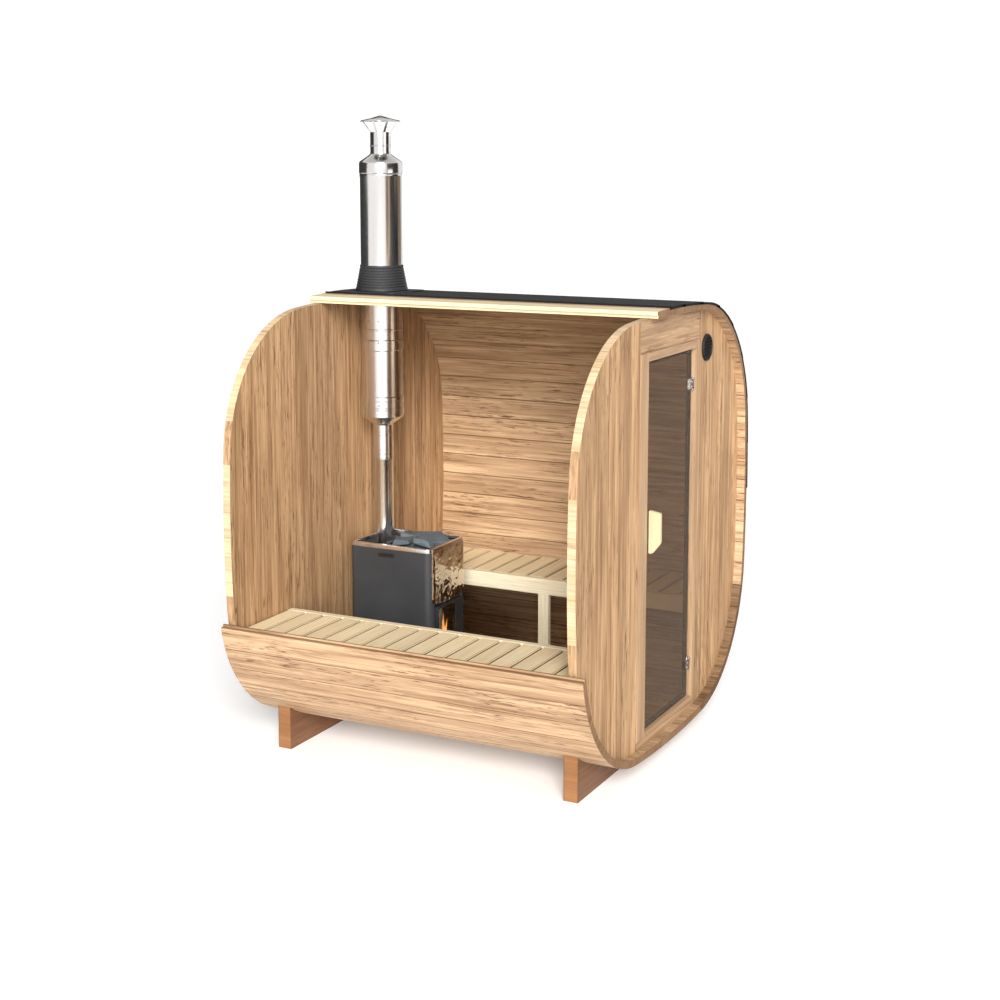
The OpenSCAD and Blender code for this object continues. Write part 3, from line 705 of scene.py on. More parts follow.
def plain(name, color, rough, metal=0.0, **sockets):
    """A material with its Principled shader set, for a finish to be added to."""
    material = bpy.data.materials.new(name)
    material.use_nodes = True
    shader = material.node_tree.nodes["Principled BSDF"]
    shader.inputs["Base Color"].default_value = (*color, 1)
    shader.inputs["Roughness"].default_value = rough
    shader.inputs["Metallic"].default_value = metal
    for key, value in sockets.items():
        shader.inputs[key.replace("_", " ")].default_value = value
    return material


def grain_group():
    """Fine all-over variation for paint, rubber, stone and felt: colour, roughness and height."""
    group, ins, outs = shader_group(
        "surface_grain",
        [("Vector", "NodeSocketVector", None), ("Light", "NodeSocketColor", (0.5, 0.5, 0.5, 1)),
         ("Dark", "NodeSocketColor", (0.3, 0.3, 0.3, 1)), ("Coarse", "NodeSocketFloat", 8.0),
         ("Fine", "NodeSocketFloat", 400.0), ("Rough Low", "NodeSocketFloat", 0.4),
         ("Rough High", "NodeSocketFloat", 0.6)],
        [("Color", "NodeSocketColor"), ("Roughness", "NodeSocketFloat"), ("Height", "NodeSocketFloat")])
    get = ins.outputs
    patches = add_node(group, "ShaderNodeTexNoise", {"Vector": get["Vector"], "Scale": get["Coarse"],
                                                     "Detail": 4.0})
    grains = add_node(group, "ShaderNodeTexNoise", {"Vector": get["Vector"], "Scale": get["Fine"],
                                                    "Detail": 2.0})
    mixed = sums(group, "ADD", sums(group, "MULTIPLY", patches.outputs["Fac"], 0.5),
                 sums(group, "MULTIPLY", grains.outputs["Fac"], 0.5))
    tone = spread(group, mixed, 0.38, 0.62)
    rough = add_node(group, "ShaderNodeMapRange", {
        "Value": mixed, "From Min": 0.38, "From Max": 0.62,
        "To Min": get["Rough Low"], "To Max": get["Rough High"]})
    group.links.new(blended(group, tone, get["Dark"], get["Light"]), outs.inputs["Color"])
    group.links.new(rough.outputs[0], outs.inputs["Roughness"])
    group.links.new(grains.outputs["Fac"], outs.inputs["Height"])
    return group


surface_grain = grain_group()


def grained(name, light, dark, coarse, fine, rough_low, rough_high, bump, metal=0.0, stretch=(1, 1, 1),
            depth=0.001,
            **sockets):
    """A finish with fine variation; stretch draws the variation out, as on brushed steel."""
    material = plain(name, light, rough_low, metal, **sockets)
    tree = material.node_tree
    shader = tree.nodes["Principled BSDF"]
    place = add_node(tree, "ShaderNodeTexCoord").outputs["Object"]
    drawn = add_node(tree, "ShaderNodeMapping", {"Vector": place, "Scale": stretch}).outputs[0]
    figure = add_node(tree, "ShaderNodeGroup", node_tree=surface_grain)
    tree.links.new(drawn, figure.inputs["Vector"])
    for key, value in (("Light", (*light, 1)), ("Dark", (*dark, 1)), ("Coarse", coarse), ("Fine", fine),
                       ("Rough Low", rough_low), ("Rough High", rough_high)):
        figure.inputs[key].default_value = value
    tree.links.new(figure.outputs["Color"], shader.inputs["Base Color"])
    tree.links.new(figure.outputs["Roughness"], shader.inputs["Roughness"])
    lift = add_node(tree, "ShaderNodeBump", {"Strength": bump, "Distance": depth,
                                             "Height": figure.outputs["Height"]})
    tree.links.new(lift.outputs[0], shader.inputs["Normal"])
    return material


def refinish(node_name, material):
    """Gives a piece of the construction model its finish."""
    slots = nodes[node_name].material_slots
    if not slots:
        nodes[node_name].data.materials.append(material)
    for place in nodes[node_name].material_slots:
        place.material = material


seal_rubber = grained("seal_rubber", (0.012, 0.010, 0.009), (0.007, 0.006, 0.005), 9, 300, 0.75, 0.9, 0.1,
                       **{"Specular_IOR_Level": 0.2})
bronze_glass = grained("bronze_glass", (0.585, 0.46, 0.35), (0.565, 0.445, 0.335), 1.5, 4, 0.0, 0.02, 0.0,
                       **{"Transmission_Weight": 1.0, "IOR": 1.45})
chrome = grained("polished_chrome", (0.86, 0.86, 0.87), (0.78, 0.78, 0.79), 20, 700, 0.08, 0.16, 0.02,
                 metal=1.0)
refinish("door_seal", seal_rubber)
refinish("door_glass", bronze_glass)
refinish("door_clamps", chrome)
refinish("door_hinges", chrome)

# ---------------------------------------------------------------- door screws
# Two countersunk screws hold each glass clamp together, seen as small domed heads on its face.
screw_radius = 0.0045
clamp_low, clamp_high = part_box("door_clamps")


def screw_head(name, material):
    """A low domed head with a six-sided socket, looking along -Y, its seat at the origin."""
    bm = bmesh.new()
    rings = ((1.0, 0.0), (1.0, 0.25), (0.86, 0.42), (0.5, 0.5))
    loops = []
    for share, lift in rings:
        loops.append([bm.verts.new((screw_radius * share * math.cos(math.tau * i / 12), -screw_radius * lift,
                                    screw_radius * share * math.sin(math.tau * i / 12))) for i in range(12)])
    socket = [bm.verts.new((screw_radius * 0.42 * math.cos(math.tau * i / 12), -screw_radius * 0.15,
                            screw_radius * 0.42 * math.sin(math.tau * i / 12))) for i in range(12)]
    loops.append(socket)
    for a, b in zip(loops, loops[1:]):
        for i in range(12):
            bm.faces.new((a[i], a[(i + 1) % 12], b[(i + 1) % 12], b[i]))
    bm.faces.new(socket)
    bm.faces.new(loops[0][::-1])
    head = made(name, bm, material)
    mark_ends(head, 0)
    return head


clamp_height = 0.052
clamp_bottoms = (clamp_low.z, clamp_high.z - clamp_height)
screw_rise = 0.013
screw_pitch = clamp_height - 2 * screw_rise
screw_x = clamp_low.x + 0.010
for label, bottom in zip(("lower", "upper"), clamp_bottoms):
    screws = lay_row(f"{label}_clamp_screws", screw_head("clamp_screw", chrome), 2, chrome, chrome,
                     start=(screw_x, clamp_low.y + 0.001, bottom + screw_rise), shift=(0, 0, screw_pitch))
    settled(screws, "door", "polished_metal")

# ---------------------------------------------------------------- handles
# A pale plank set on edge is the pull outside; one of the same cut stands inside the
# glass, coloured near black as painted shade. Both are screwed together through the pane.
pull_wood = wood("pull_wood", "z", (0.74, 0.60, 0.37), (0.62, 0.47, 0.27), flecks=0.05, streaks=0.1)
# Near black, as painted shade: the inner pull stands in shade behind the tinted glass.
black_wood = wood("black_wood", "z", (0.018, 0.017, 0.016), (0.010, 0.010, 0.010),
                  fleck=(0.004, 0.004, 0.004),
                  flecks=0.3, streaks=0.1)


def pull(name, node_name, side, material):
    """The handle's side outline, drawn through its thickness, with every edge rounded."""
    low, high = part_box(node_name)
    root = high.y if side < 0 else low.y
    reach = high.y - low.y
    foot, cut, fall = 0.018, 0.053, 0.011
    corners = [(0, 0), (foot, 0), (reach, cut), (reach, high.z - low.z - fall), (0, high.z - low.z)]
    bm = bmesh.new()
    left = [bm.verts.new((low.x, root + side * y, low.z + z)) for y, z in corners]
    right = [bm.verts.new((high.x, root + side * y, low.z + z)) for y, z in corners]
    bm.faces.new(left)
    bm.faces.new(right[::-1])
    for i in range(len(corners)):
        j = (i + 1) % len(corners)
        bm.faces.new((left[i], right[i], right[j], left[j]))
    bmesh.ops.bevel(bm, geom=list(bm.edges), offset=0.003, segments=3, affect="EDGES")
    return made(name, bm, material)


outer_pull = pull("outer_pull", "handle_outside", -1, pull_wood)
settled(outer_pull, "door", "frame_wood", "handle_outside")
inner_pull = pull("inner_pull", "handle_inside", 1, black_wood)
settled(inner_pull, "door", "black_wood", "handle_inside")

# ---------------------------------------------------------------- wall vent
# A round moulded cover with tilted slats over an air hole, pressed into the front wall.
vent_low, vent_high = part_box("wall_vent")
vent_x, vent_z = (vent_low.x + vent_high.x) / 2, (vent_low.z + vent_high.z) / 2
vent_radius = (vent_high.x - vent_low.x) / 2 - 0.003
vent_plastic = grained("vent_plastic", (0.010, 0.010, 0.011), (0.006, 0.006, 0.007), 12, 500, 0.45, 0.60,
                       0.08)
vent_hole = 0.80 * vent_radius


def ring_solid(bm, section, centre, segments=72, axis="z"):
    """A closed section of (radius, height) points turned about an axis through centre."""
    rings = []
    closed = section[0][0] > 1e-6 or section[-1][0] > 1e-6
    for r, h in section:
        if r < 1e-6:
            spot = (0, 0, h) if axis == "z" else (0, h, 0)
            rings.append([bm.verts.new(Vector(centre) + Vector(spot))])
            continue
        ring = []
        for i in range(segments):
            a = math.tau * i / segments
            spot = ((r * math.cos(a), r * math.sin(a), h) if axis == "z"
                    else (r * math.cos(a), h, r * math.sin(a)))
            ring.append(bm.verts.new(Vector(centre) + Vector(spot)))
        rings.append(ring)
    pairs = list(zip(rings, rings[1:]))
    if closed:
        pairs.append((rings[-1], rings[0]))
    for a, b in pairs:
        for i in range(segments):
            j = (i + 1) % segments
            if len(a) == 1 and len(b) == 1:
                continue
            if len(a) == 1:
                bm.faces.new((a[0], b[i], b[j]))
            elif len(b) == 1:
                bm.faces.new((a[i], b[0], a[j]))
            else:
                bm.faces.new((a[i], b[i], b[j], a[j]))


bm = bmesh.new()
face_y = vent_low.y
ring_solid(bm, [(vent_hole, vent_high.y), (vent_radius, vent_high.y), (vent_radius, face_y + 0.005),
                (vent_radius - 0.005, face_y), (vent_hole + 0.004, face_y), (vent_hole, face_y + 0.004)],
           (vent_x, 0, vent_z), axis="y")
ring_solid(bm, [(0, vent_high.y - 0.002), (vent_hole + 0.001, vent_high.y - 0.002),
                (vent_hole + 0.001, vent_high.y), (0, vent_high.y)], (vent_x, 0, vent_z), axis="y")
slats = 7
slat_pitch = 2 * vent_hole / slats
for i in range(slats):
    z = -vent_hole + slat_pitch * (i + 0.5)
    half = math.sqrt(max(vent_hole ** 2 - (abs(z) + slat_pitch * 0.2) ** 2, 0)) + 0.002
    verts = []
    for y_shift, z_shift in ((0.0015, 0.0075), (0.0005, 0.0065), (0.0085, -0.0075), (0.0095, -0.0065)):
        verts.append([bm.verts.new((vent_x + end * half, face_y + y_shift,
                                    vent_z + z + z_shift)) for end in (-1, 1)])
    for a, b in zip(verts, verts[1:] + verts[:1]):
        bm.faces.new((a[0], a[1], b[1], b[0]))
    bm.faces.new([v[0] for v in verts])
    bm.faces.new([v[1] for v in verts[::-1]])
vent = made("vent_cover", bm, vent_plastic)
settled(vent, "sauna", "vent_plastic", "wall_vent")

# ---------------------------------------------------------------- roofing
# Courses of mineral-faced felt run the length of the shell over the roof and down the far
# side. Each course laps the one below it and stands proud of it by its own thickness.
felt_low, felt_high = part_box("felt_side")[0].z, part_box("felt_top")[0].x
felt_gap = 0.0008
felt_thick = 0.0052
course = 0.25
roof_felt = grained("roof_felt", (0.024, 0.0237, 0.0235), (0.011, 0.011, 0.0115), 10, 700, 0.78, 0.95, 0.5,
                    **{"Specular_IOR_Level": 0.3})
felt_edge = grained("felt_edge", (0.012, 0.012, 0.013), (0.006, 0.006, 0.007), 30, 600, 0.7, 0.9, 0.2,
                    **{"Specular_IOR_Level": 0.2})


def on_skin(distance):
    """Point and outward direction on the outside of the staves, a distance up from mid height."""
    outer = flat_radius + stave_thick
    corner = corner_radius + stave_thick
    side_run = side_angle * outer
    corner_run = (top_angle - side_angle) * corner
    if distance < side_run:
        angle, centre, radius = distance / outer, (side_centre, middle_z), outer
    elif distance < side_run + corner_run:
        angle = side_angle + (distance - side_run) / corner
        centre, radius = (corner_x, middle_z + corner_z), corner
    else:
        angle = top_angle + (distance - side_run - corner_run) / outer
        centre, radius = (0, middle_z + top_centre), outer
    out = Vector((math.cos(angle), 0, math.sin(angle)))
    return Vector((centre[0], 0, centre[1])) + out * radius, out


outer_flat = flat_radius + stave_thick
felt_end = (side_angle * outer_flat + (top_angle - side_angle) * (corner_radius + stave_thick)
            + (math.acos(felt_high / outer_flat) - top_angle) * outer_flat)
felt_start = (felt_low - middle_z)
lap = 0.05
fold_depth, fold_thick = 0.008, 0.0024
hem_height, hem_width = 0.009, 0.016
count = math.ceil((felt_end - felt_start) / course)
bm = bmesh.new()
for i in range(count):
    start = felt_start + i * course
    end = min(start + course + lap, felt_end)
    steps = 14
    outer, inner, folded = [], [], []
    for k in range(steps + 1):
        share = (end - start) * k / steps
        spot, out = on_skin(start + share)
        taper = 0.86 * min(1.0, share / course) if i < count - 1 else 0.1
        for line, height in ((outer, felt_gap + felt_thick * (1 - taper)), (inner, felt_gap),
                             (folded, -fold_depth)):
            point = spot + out * height
            line.append((point.x, point.z))
    prism(bm, outer + inner[::-1], shell_front - 0.0003, shell_back - 0.0005, slot=0, cap_slot=1)
    prism(bm, outer + folded[::-1], shell_front - 0.0003 - fold_thick, shell_front - 0.0003, slot=1)
hem = []
for distance, height in ((felt_end - hem_width, felt_gap), (felt_end - hem_width, hem_height * 0.6),
                         (felt_end - hem_width * 0.5, hem_height), (felt_end - 0.001, hem_height),
                         (felt_end + 0.002, hem_height * 0.6), (felt_end + 0.002, felt_gap)):
    spot, out = on_skin(distance)
    hem.append(((spot + out * height).x, (spot + out * height).z))
prism(bm, hem, shell_front - 0.0003 - fold_thick, shell_back - 0.0005, slot=1)
felt_piece = made("roof_felt", bm, roof_felt, felt_edge)
settled(felt_piece, "sauna", "roofing", "felt_top", "felt_corner", "felt_side")

# ---------------------------------------------------------------- bearers
# Two deep joists of impregnated softwood cross under the shell near its ends. Their tops are
# cut to the curve, and the sawn ends show the growth rings.
bearer_side = wood("bearer_side", "x", (0.205, 0.088, 0.034), (0.130, 0.055, 0.021),
                   fleck=(0.09, 0.03, 0.015),
                   flecks=0.4, streaks=0.4, bump=0.5)
bearer_end = wood("bearer_end", "y", (0.30, 0.132, 0.044), (0.23, 0.095, 0.030), flecks=0.1, streaks=0.2,
                  bump=0.4)


def lower_skin(x):
    """Height of the staves' outer face over a point of the ground."""
    reach = outer_flat * math.cos(top_angle)
    if abs(x) < reach:
        return middle_z - top_centre - math.sqrt(outer_flat ** 2 - x * x)
    corner = corner_radius + stave_thick
    return middle_z - corner_z - math.sqrt(corner ** 2 - (abs(x) - corner_x) ** 2)


for name in ("bearer_front", "bearer_back"):
    low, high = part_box(name)
    steps = 40
    seat_play = 0.0004
    saddle = [(low.x + (high.x - low.x) * i / steps) for i in range(steps + 1)]
    outline = [(low.x, 0.0), (high.x, 0.0)] + [(x, lower_skin(x) - seat_play) for x in reversed(saddle)]
    bm = bmesh.new()
    prism(bm, outline, low.y, high.y)
    bm.normal_update()
    sharp = [e for e in bm.edges if len(e.link_faces) == 2 and e.calc_face_angle() > 1.0]
    bmesh.ops.bevel(bm, geom=sharp, offset=0.0025, segments=2, affect="EDGES")
    bm.normal_update()
    for face in bm.faces:
        face.material_index = 1 if abs(face.normal.x) > 0.9 else 0
    for v in bm.verts:
        v.co.z = max(v.co.z, 0.0)
    joist = made(name + "_joist", bm, bearer_side, bearer_end)
    settled(joist, "sauna", "bearer_wood", name)

# ---------------------------------------------------------------- benches
# Pale, knot-free slats lie across two ledgers with a finger's gap between them, and a deep
# front rail hides their ends. One post carries the middle of each rail.
slat_wood = wood("slat_wood", "x", (0.86, 0.725, 0.475), (0.79, 0.64, 0.395), flecks=0.05, streaks=0.15,
                 board="attribute", board_change=0.12)
bench_rail_wood = wood("bench_rail_wood", "y", (0.88, 0.78, 0.56), (0.80, 0.69, 0.47), flecks=0.05,
                       streaks=0.1)
bench_post_wood = wood("bench_post_wood", "z", (0.88, 0.78, 0.56), (0.80, 0.69, 0.47), flecks=0.05,
                       streaks=0.1)
# Painted shade: the slats' long sides are coloured dark brown, as if shaded in the gaps between them.
slat_side_wood = wood("slat_side_wood", "x", (0.34, 0.225, 0.125), (0.25, 0.155, 0.082), flecks=0.1,
                      streaks=0.3)
bench_slats = 16
for side in ("near", "far"):
    low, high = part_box(f"{side}_bench_slats")
    slat_width = 0.100
    pitch = (high.y - low.y - slat_width) / (bench_slats - 1)
    bm = bmesh.new()
    add_block(bm, (low.x, low.y, low.z), (high.x, low.y + slat_width, high.z), 0.004, segments=3)
    board = made("slat", bm)
    # The slat's long sides, across the grain, take the dark painted-shade finish through the row's end
    # finish.
    mark_ends(board, 1)
    slats_piece = lay_row(f"{side}_slats", board, bench_slats, slat_wood, slat_side_wood, shift=(0, pitch, 0),
                          seed=21 if side == "near" else 22)
    settled(slats_piece, "sauna", "bench_wood", f"{side}_bench_slats")
    low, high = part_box(f"{side}_bench_rail")
    bm = bmesh.new()
    add_block(bm, low, high, 0.004, segments=3)
    rail = made(f"{side}_front_rail", bm, bench_rail_wood)
    settled(rail, "sauna", "bench_wood", f"{side}_bench_rail")
refinish("bench_ledgers", bench_rail_wood)
refinish("bench_posts", bench_post_wood)

# ---------------------------------------------------------------- stove body
# A wood stove in matt heat-proof paint. Sheet steel is folded round to four soft corners, with
# an open basket for the stones on top and a recess for the fire door in front.
body_low, body_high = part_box("stove_body")
stove_round = 0.045
back_round = 0.026
basket_wall = 0.020
basket_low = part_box("stove_stones")[0].z
stove_paint = grained("stove_paint", (0.031, 0.032, 0.034), (0.023, 0.024, 0.026), 5, 1300, 0.50, 0.62, 0.12)


def rounded_outline(x0, x1, y0, y1, front, back, steps=10):
    """A rectangle in plan with rounded corners, as points (x, y)."""
    points = []
    for cx, cy, radius, turn in ((x1 - back, y1 - back, back, 0), (x0 + back, y1 - back, back, 90),
                                 (x0 + front, y0 + front, front, 180), (x1 - front, y0 + front, front, 270)):
        for i in range(steps + 1):
            a = math.radians(turn + 90 * i / steps)
            points.append((cx + radius * math.cos(a), cy + radius * math.sin(a)))
    return points


def stacked(bm, outlines, close=True):
    """Skins a stack of outlines, each given as (points, height), and closes both ends."""
    rings = [[bm.verts.new((x, y, z)) for x, y in points] for points, z in outlines]
    count = len(rings[0])
    pairs = list(zip(rings, rings[1:]))
    for a, b in pairs:
        for i in range(count):
            j = (i + 1) % count
            bm.faces.new((a[i], a[j], b[j], b[i]))
    if close:
        bm.faces.new(rings[0][::-1])
        bm.faces.new(rings[-1])
    return rings


def stove_ring(inset):
    """The stove's outline, drawn in by an inset."""
    return rounded_outline(body_low.x + inset, body_high.x - inset, body_low.y + inset, body_high.y - inset,
                           stove_round - inset, back_round - inset)


bm = bmesh.new()
stacked(bm, [(stove_ring(0.003), body_low.z), (stove_ring(0.0), body_low.z + 0.003),
             (stove_ring(0.0), body_high.z - 0.002), (stove_ring(0.002), body_high.z)])
stove_casing = made("stove_casing", bm, stove_paint)
bm = bmesh.new()
stacked(bm, [(stove_ring(basket_wall), basket_low), (stove_ring(basket_wall), body_high.z + 0.01)])
stove_casing = drilled(stove_casing, made("basket_space", bm))
door_low, door_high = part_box("fire_door")
door_gap = 0.006
leaf_x1 = door_high.x - 0.011
bm = bmesh.new()
add_block(bm, (door_low.x - door_gap, body_low.y - 0.02, door_low.z - door_gap),
          (leaf_x1 + door_gap, door_high.y + door_gap, door_high.z + door_gap))
stove_casing = drilled(stove_casing, made("door_space", bm))
firebox_low = Vector((door_low.x + 0.040, body_low.y, door_low.z + 0.040))
firebox_high = Vector((leaf_x1 - 0.040, body_low.y + 0.300, door_high.z - 0.040))
bm = bmesh.new()
add_block(bm, firebox_low, firebox_high)
stove_casing = drilled(stove_casing, made("fire_space", bm))
settled(stove_casing, "sauna", "stove_paint", "stove_body")
refinish("stove_feet", stove_paint)

# ---------------------------------------------------------------- stove rim
# A bright pressed ring finishes the top of the basket, rounded over outside and in. The row
# of small air holes round its inner edge is not drawn.
rim_steel = grained("rim_steel", (0.80, 0.78, 0.77), (0.70, 0.68, 0.67), 12, 500, 0.10, 0.20, 0.02, metal=1.0)
rim_low, rim_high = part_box("stove_rim")
edge_round = 0.004
bm = bmesh.new()
section = [(0.0, rim_low.z)]
for i in range(5):
    a = math.radians(90 * i / 4)
    section.append((edge_round * (1 - math.cos(a)), rim_high.z - edge_round + edge_round * math.sin(a)))
for i in range(5):
    a = math.radians(90 * i / 4)
    section.append((basket_wall - edge_round * (1 - math.sin(a)),
                    rim_high.z - edge_round + edge_round * math.cos(a)))
section.append((basket_wall, rim_low.z))
rings = stacked(bm, [(stove_ring(inset), z) for inset, z in section], close=False)
for i in range(len(rings[0])):
    j = (i + 1) % len(rings[0])
    bm.faces.new((rings[-1][i], rings[-1][j], rings[0][j], rings[0][i]))
rim_ring = made("rim_ring", bm, rim_steel)
settled(rim_ring, "sauna", "polished_metal", "stove_rim")

# ---------------------------------------------------------------- stove front plate
# A mirror-bright stainless plate covers the front above the fire door. It is sprung round
# both corners, so its face has faint waves, and its lower edge is cut to a bow.
mirror_steel = grained("mirror_steel", (0.64, 0.56, 0.49), (0.60, 0.52, 0.45), 6, 13, 0.03, 0.07, 1.0,
                       metal=1.0, depth=0.010)
refinish("stove_plate", mirror_steel)

# ---------------------------------------------------------------- stove name plate
# A thin dark plate is riveted near the top of the open side. It is left bare.
plate_y0, plate_y1, plate_z0, plate_z1 = 0.572, 0.670, 0.864, 0.886
tag_black = grained("tag_black", (0.012, 0.012, 0.013), (0.008, 0.008, 0.009), 40, 800, 0.30, 0.45, 0.05)
bm = bmesh.new()
add_block(bm, (body_low.x - 0.0012, plate_y0, plate_z0), (body_low.x + 0.001, plate_y1, plate_z1), 0.0005)
name_plate = made("name_plate", bm, tag_black)
settled(name_plate, "sauna", "stove_paint")

# ---------------------------------------------------------------- fire door
# A cast frame holds a pane of ceramic glass. The frame is wide beside the barrel hinge and
# narrow round the other three edges; the pane is bedded in it on a rope seal.
fire_black = grained("fire_black", (0.020, 0.020, 0.022), (0.013, 0.013, 0.014), 10, 1100, 0.42, 0.55, 0.15)
fire_pane = grained("fire_pane", (0.55, 0.43, 0.30), (0.48, 0.37, 0.25), 5, 12, 0.02, 0.06, 0.0,
                    **{"Transmission_Weight": 1.0, "IOR": 1.9})
pane_x0, pane_x1 = door_low.x + 0.010, door_low.x + 0.196
pane_z0, pane_z1 = door_low.z + 0.030, door_high.z - 0.012
leaf_y0, leaf_y1 = door_low.y + 0.0005, door_high.y
bm = bmesh.new()
add_block(bm, (door_low.x, leaf_y0, door_low.z), (pane_x0, leaf_y1, door_high.z), 0.0015)
add_block(bm, (pane_x1, leaf_y0, door_low.z), (leaf_x1, leaf_y1, door_high.z), 0.0015)
add_block(bm, (pane_x0, leaf_y0, door_low.z), (pane_x1, leaf_y1, pane_z0), 0.0015)
add_block(bm, (pane_x0, leaf_y0, pane_z1), (pane_x1, leaf_y1, door_high.z), 0.0015)
fire_frame = made("fire_frame", bm, fire_black)
settled(fire_frame, "fire_door", "fire_door", "fire_door")
bm = bmesh.new()
add_block(bm, (pane_x0, leaf_y0 + 0.004, pane_z0), (pane_x1, leaf_y0 + 0.008, pane_z1))
pane = made("fire_glass", bm, fire_pane)
settled(pane, "fire_door", "fire_door")
barrel_x, barrel_y = door_high.x - 0.006, door_low.y + 0.0065
knuckle = (door_high.z - door_low.z - 0.012) / 5
bm = bmesh.new()
for i in range(5):
    z = door_low.z + 0.006 + knuckle * i
    ring_solid(bm, [(0, z), (0.0052, z), (0.0060, z + 0.0008), (0.0060, z + knuckle - 0.0018),
                    (0.0052, z + knuckle - 0.001), (0, z + knuckle - 0.001)],
               (barrel_x, barrel_y, 0), segments=24)
barrel = made("fire_barrel", bm, fire_black)
settled(barrel, "fire_door", "fire_door")

# ---------------------------------------------------------------- fire
# Split logs burn on the grate behind the pane, and tongues of flame stand up from them.
log_bark = grained("log_bark", (0.10, 0.045, 0.020), (0.025, 0.015, 0.010), 30, 300, 0.8, 0.95, 0.8)
bm = bmesh.new()
fire_middle = (firebox_low.x + firebox_high.x) / 2
for i, (dx, dz, turn) in enumerate(((-0.045, 0.028, 0.05), (0.035, 0.030, -0.08), (-0.005, 0.078, 0.12))):
    radius = 0.026
    sides = 14
    rings = []
    for k in range(9):
        y = firebox_low.y + 0.045 + 0.025 * k
        ring = []
        for s in range(sides):
            a = math.tau * s / sides
            r = radius * (1 + 0.12 * noise.noise(Vector((3 * math.cos(a), 3 * math.sin(a), k * 0.4 + 9 * i))))
            ring.append(bm.verts.new((
                fire_middle + dx + turn * (y - firebox_low.y - 0.14) + r * math.cos(a),
                y, firebox_low.z + dz + r * math.sin(a))))
        rings.append(ring)
    for a, b in zip(rings, rings[1:]):
        for s in range(sides):
            bm.faces.new((a[s], a[(s + 1) % sides], b[(s + 1) % sides], b[s]))
    bm.faces.new(rings[0])
    bm.faces.new(rings[-1])
logs = made("fire_logs", bm, log_bark)
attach(logs, "sauna")

flame_glow = bpy.data.materials.new("flame_glow")
flame_glow.use_nodes = True
tree = flame_glow.node_tree
shader = tree.nodes["Principled BSDF"]
place = add_node(tree, "ShaderNodeTexCoord").outputs["Object"]
height = add_node(tree, "ShaderNodeSeparateXYZ", {0: place}).outputs["Z"]
lick = noise_field(tree, place, (30, 30, 14), detail=2)
level = sums(tree, "ADD", spread(tree, height, firebox_low.z + 0.06, firebox_low.z + 0.27), sums(
    tree, "MULTIPLY", sums(tree, "SUBTRACT", lick, 0.5), 0.5))
heat = blended(tree, level, (1.0, 0.86, 0.42, 1), (1.0, 0.36, 0.07, 1))
tree.links.new(heat, shader.inputs["Emission Color"])
tree.links.new(heat, shader.inputs["Base Color"])
shader.inputs["Emission Strength"].default_value = 2.6
shader.inputs["Roughness"].default_value = 0.9
bm = bmesh.new()
for dx, dy, base, tall, wide in ((0.016, 0.036, 0.050, 0.215, 0.014), (0.050, 0.040, 0.060, 0.165, 0.011),
                                 (-0.040, 0.090, 0.050, 0.150, 0.016), (0.045, 0.120, 0.055, 0.130, 0.016)):
    rings = []
    for k in range(13):
        t = k / 12
        r = wide * math.sin(math.pi * min(1, 0.12 + 0.88 * t) ** 0.75) + 0.0004
        sway = 0.010 * math.sin(5 * t + 40 * dx)
        rings.append([bm.verts.new((fire_middle + dx + sway + r * math.cos(math.tau * s / 16),
                                    firebox_low.y + dy + 0.6 * r * math.sin(math.tau * s / 16),
                                    firebox_low.z + base + tall * t)) for s in range(16)])
    for a, b in zip(rings, rings[1:]):
        for s in range(16):
            bm.faces.new((a[s], a[(s + 1) % 16], b[(s + 1) % 16], b[s]))
    bm.faces.new(rings[0])
    bm.faces.new(rings[-1])
flames = made("flames", bm, flame_glow)
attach(flames, "sauna")

# ---------------------------------------------------------------- stones
# Split slabs of blue-grey peridotite are stacked in the basket round the flue, so that their
# edges stand a little over the rim.
stone_grey = grained("stone_grey", (0.118, 0.142, 0.158), (0.068, 0.082, 0.092), 14, 420, 0.72, 0.92, 0.7)
slab_draw = random.Random(31)


def slab(bm, centre, size, turn, tilt):
    """One split stone: the hull of points scattered near the faces of a flat box."""
    points = []
    for i in range(26):
        spot = Vector([slab_draw.uniform(-1, 1) for axis in range(3)])
        longest = max(abs(c) for c in spot)
        spot = spot / longest * slab_draw.uniform(0.88, 1.0)
        points.append(Vector((spot.x * size[0], spot.y * size[1], spot.z * size[2])))
    place = Matrix.Translation(centre) @ Matrix.Rotation(turn, 4, "Z") @ Matrix.Rotation(tilt[0], 4, "X") \
        @ Matrix.Rotation(tilt[1], 4, "Y")
    verts = [bm.verts.new(place @ p) for p in points]
    result = bmesh.ops.convex_hull(bm, input=verts)
    loose = {e for e in result["geom_interior"] + result["geom_unused"] if isinstance(e, bmesh.types.BMVert)}
    bmesh.ops.delete(bm, geom=list(loose), context="VERTS")


inner_low = Vector((body_low.x + basket_wall, body_low.y + basket_wall))
inner_high = Vector((body_high.x - basket_wall, body_high.y - basket_wall))
bm = bmesh.new()
heap_top = rim_high.z + 0.030
heap = []
for level, columns, rows in ((0.842, 2, 3), (0.882, 2, 3), (0.916, 2, 2)):
    for i in range(columns):
        for j in range(rows):
            heap.append(((i + 0.5) / columns, (j + 0.5) / rows, level))
for across, along, level in heap:
    x = inner_low.x + 0.085 + across * (inner_high.x - inner_low.x - 0.120) + slab_draw.uniform(-0.012, 0.012)
    y = inner_low.y + 0.050 + along * (inner_high.y - inner_low.y - 0.215) + slab_draw.uniform(-0.012, 0.012)
    half = (slab_draw.uniform(0.078, 0.098), slab_draw.uniform(0.056, 0.074), slab_draw.uniform(0.020, 0.028))
    turn, tilt = slab_draw.uniform(0, math.pi), (slab_draw.uniform(-0.45, 0.45),
                                                 slab_draw.uniform(-0.45, 0.45))
    slab(bm, (x, y, level), half, turn, tilt)
pipe_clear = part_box("flue_pipe")[1].x - flue_x + 0.004
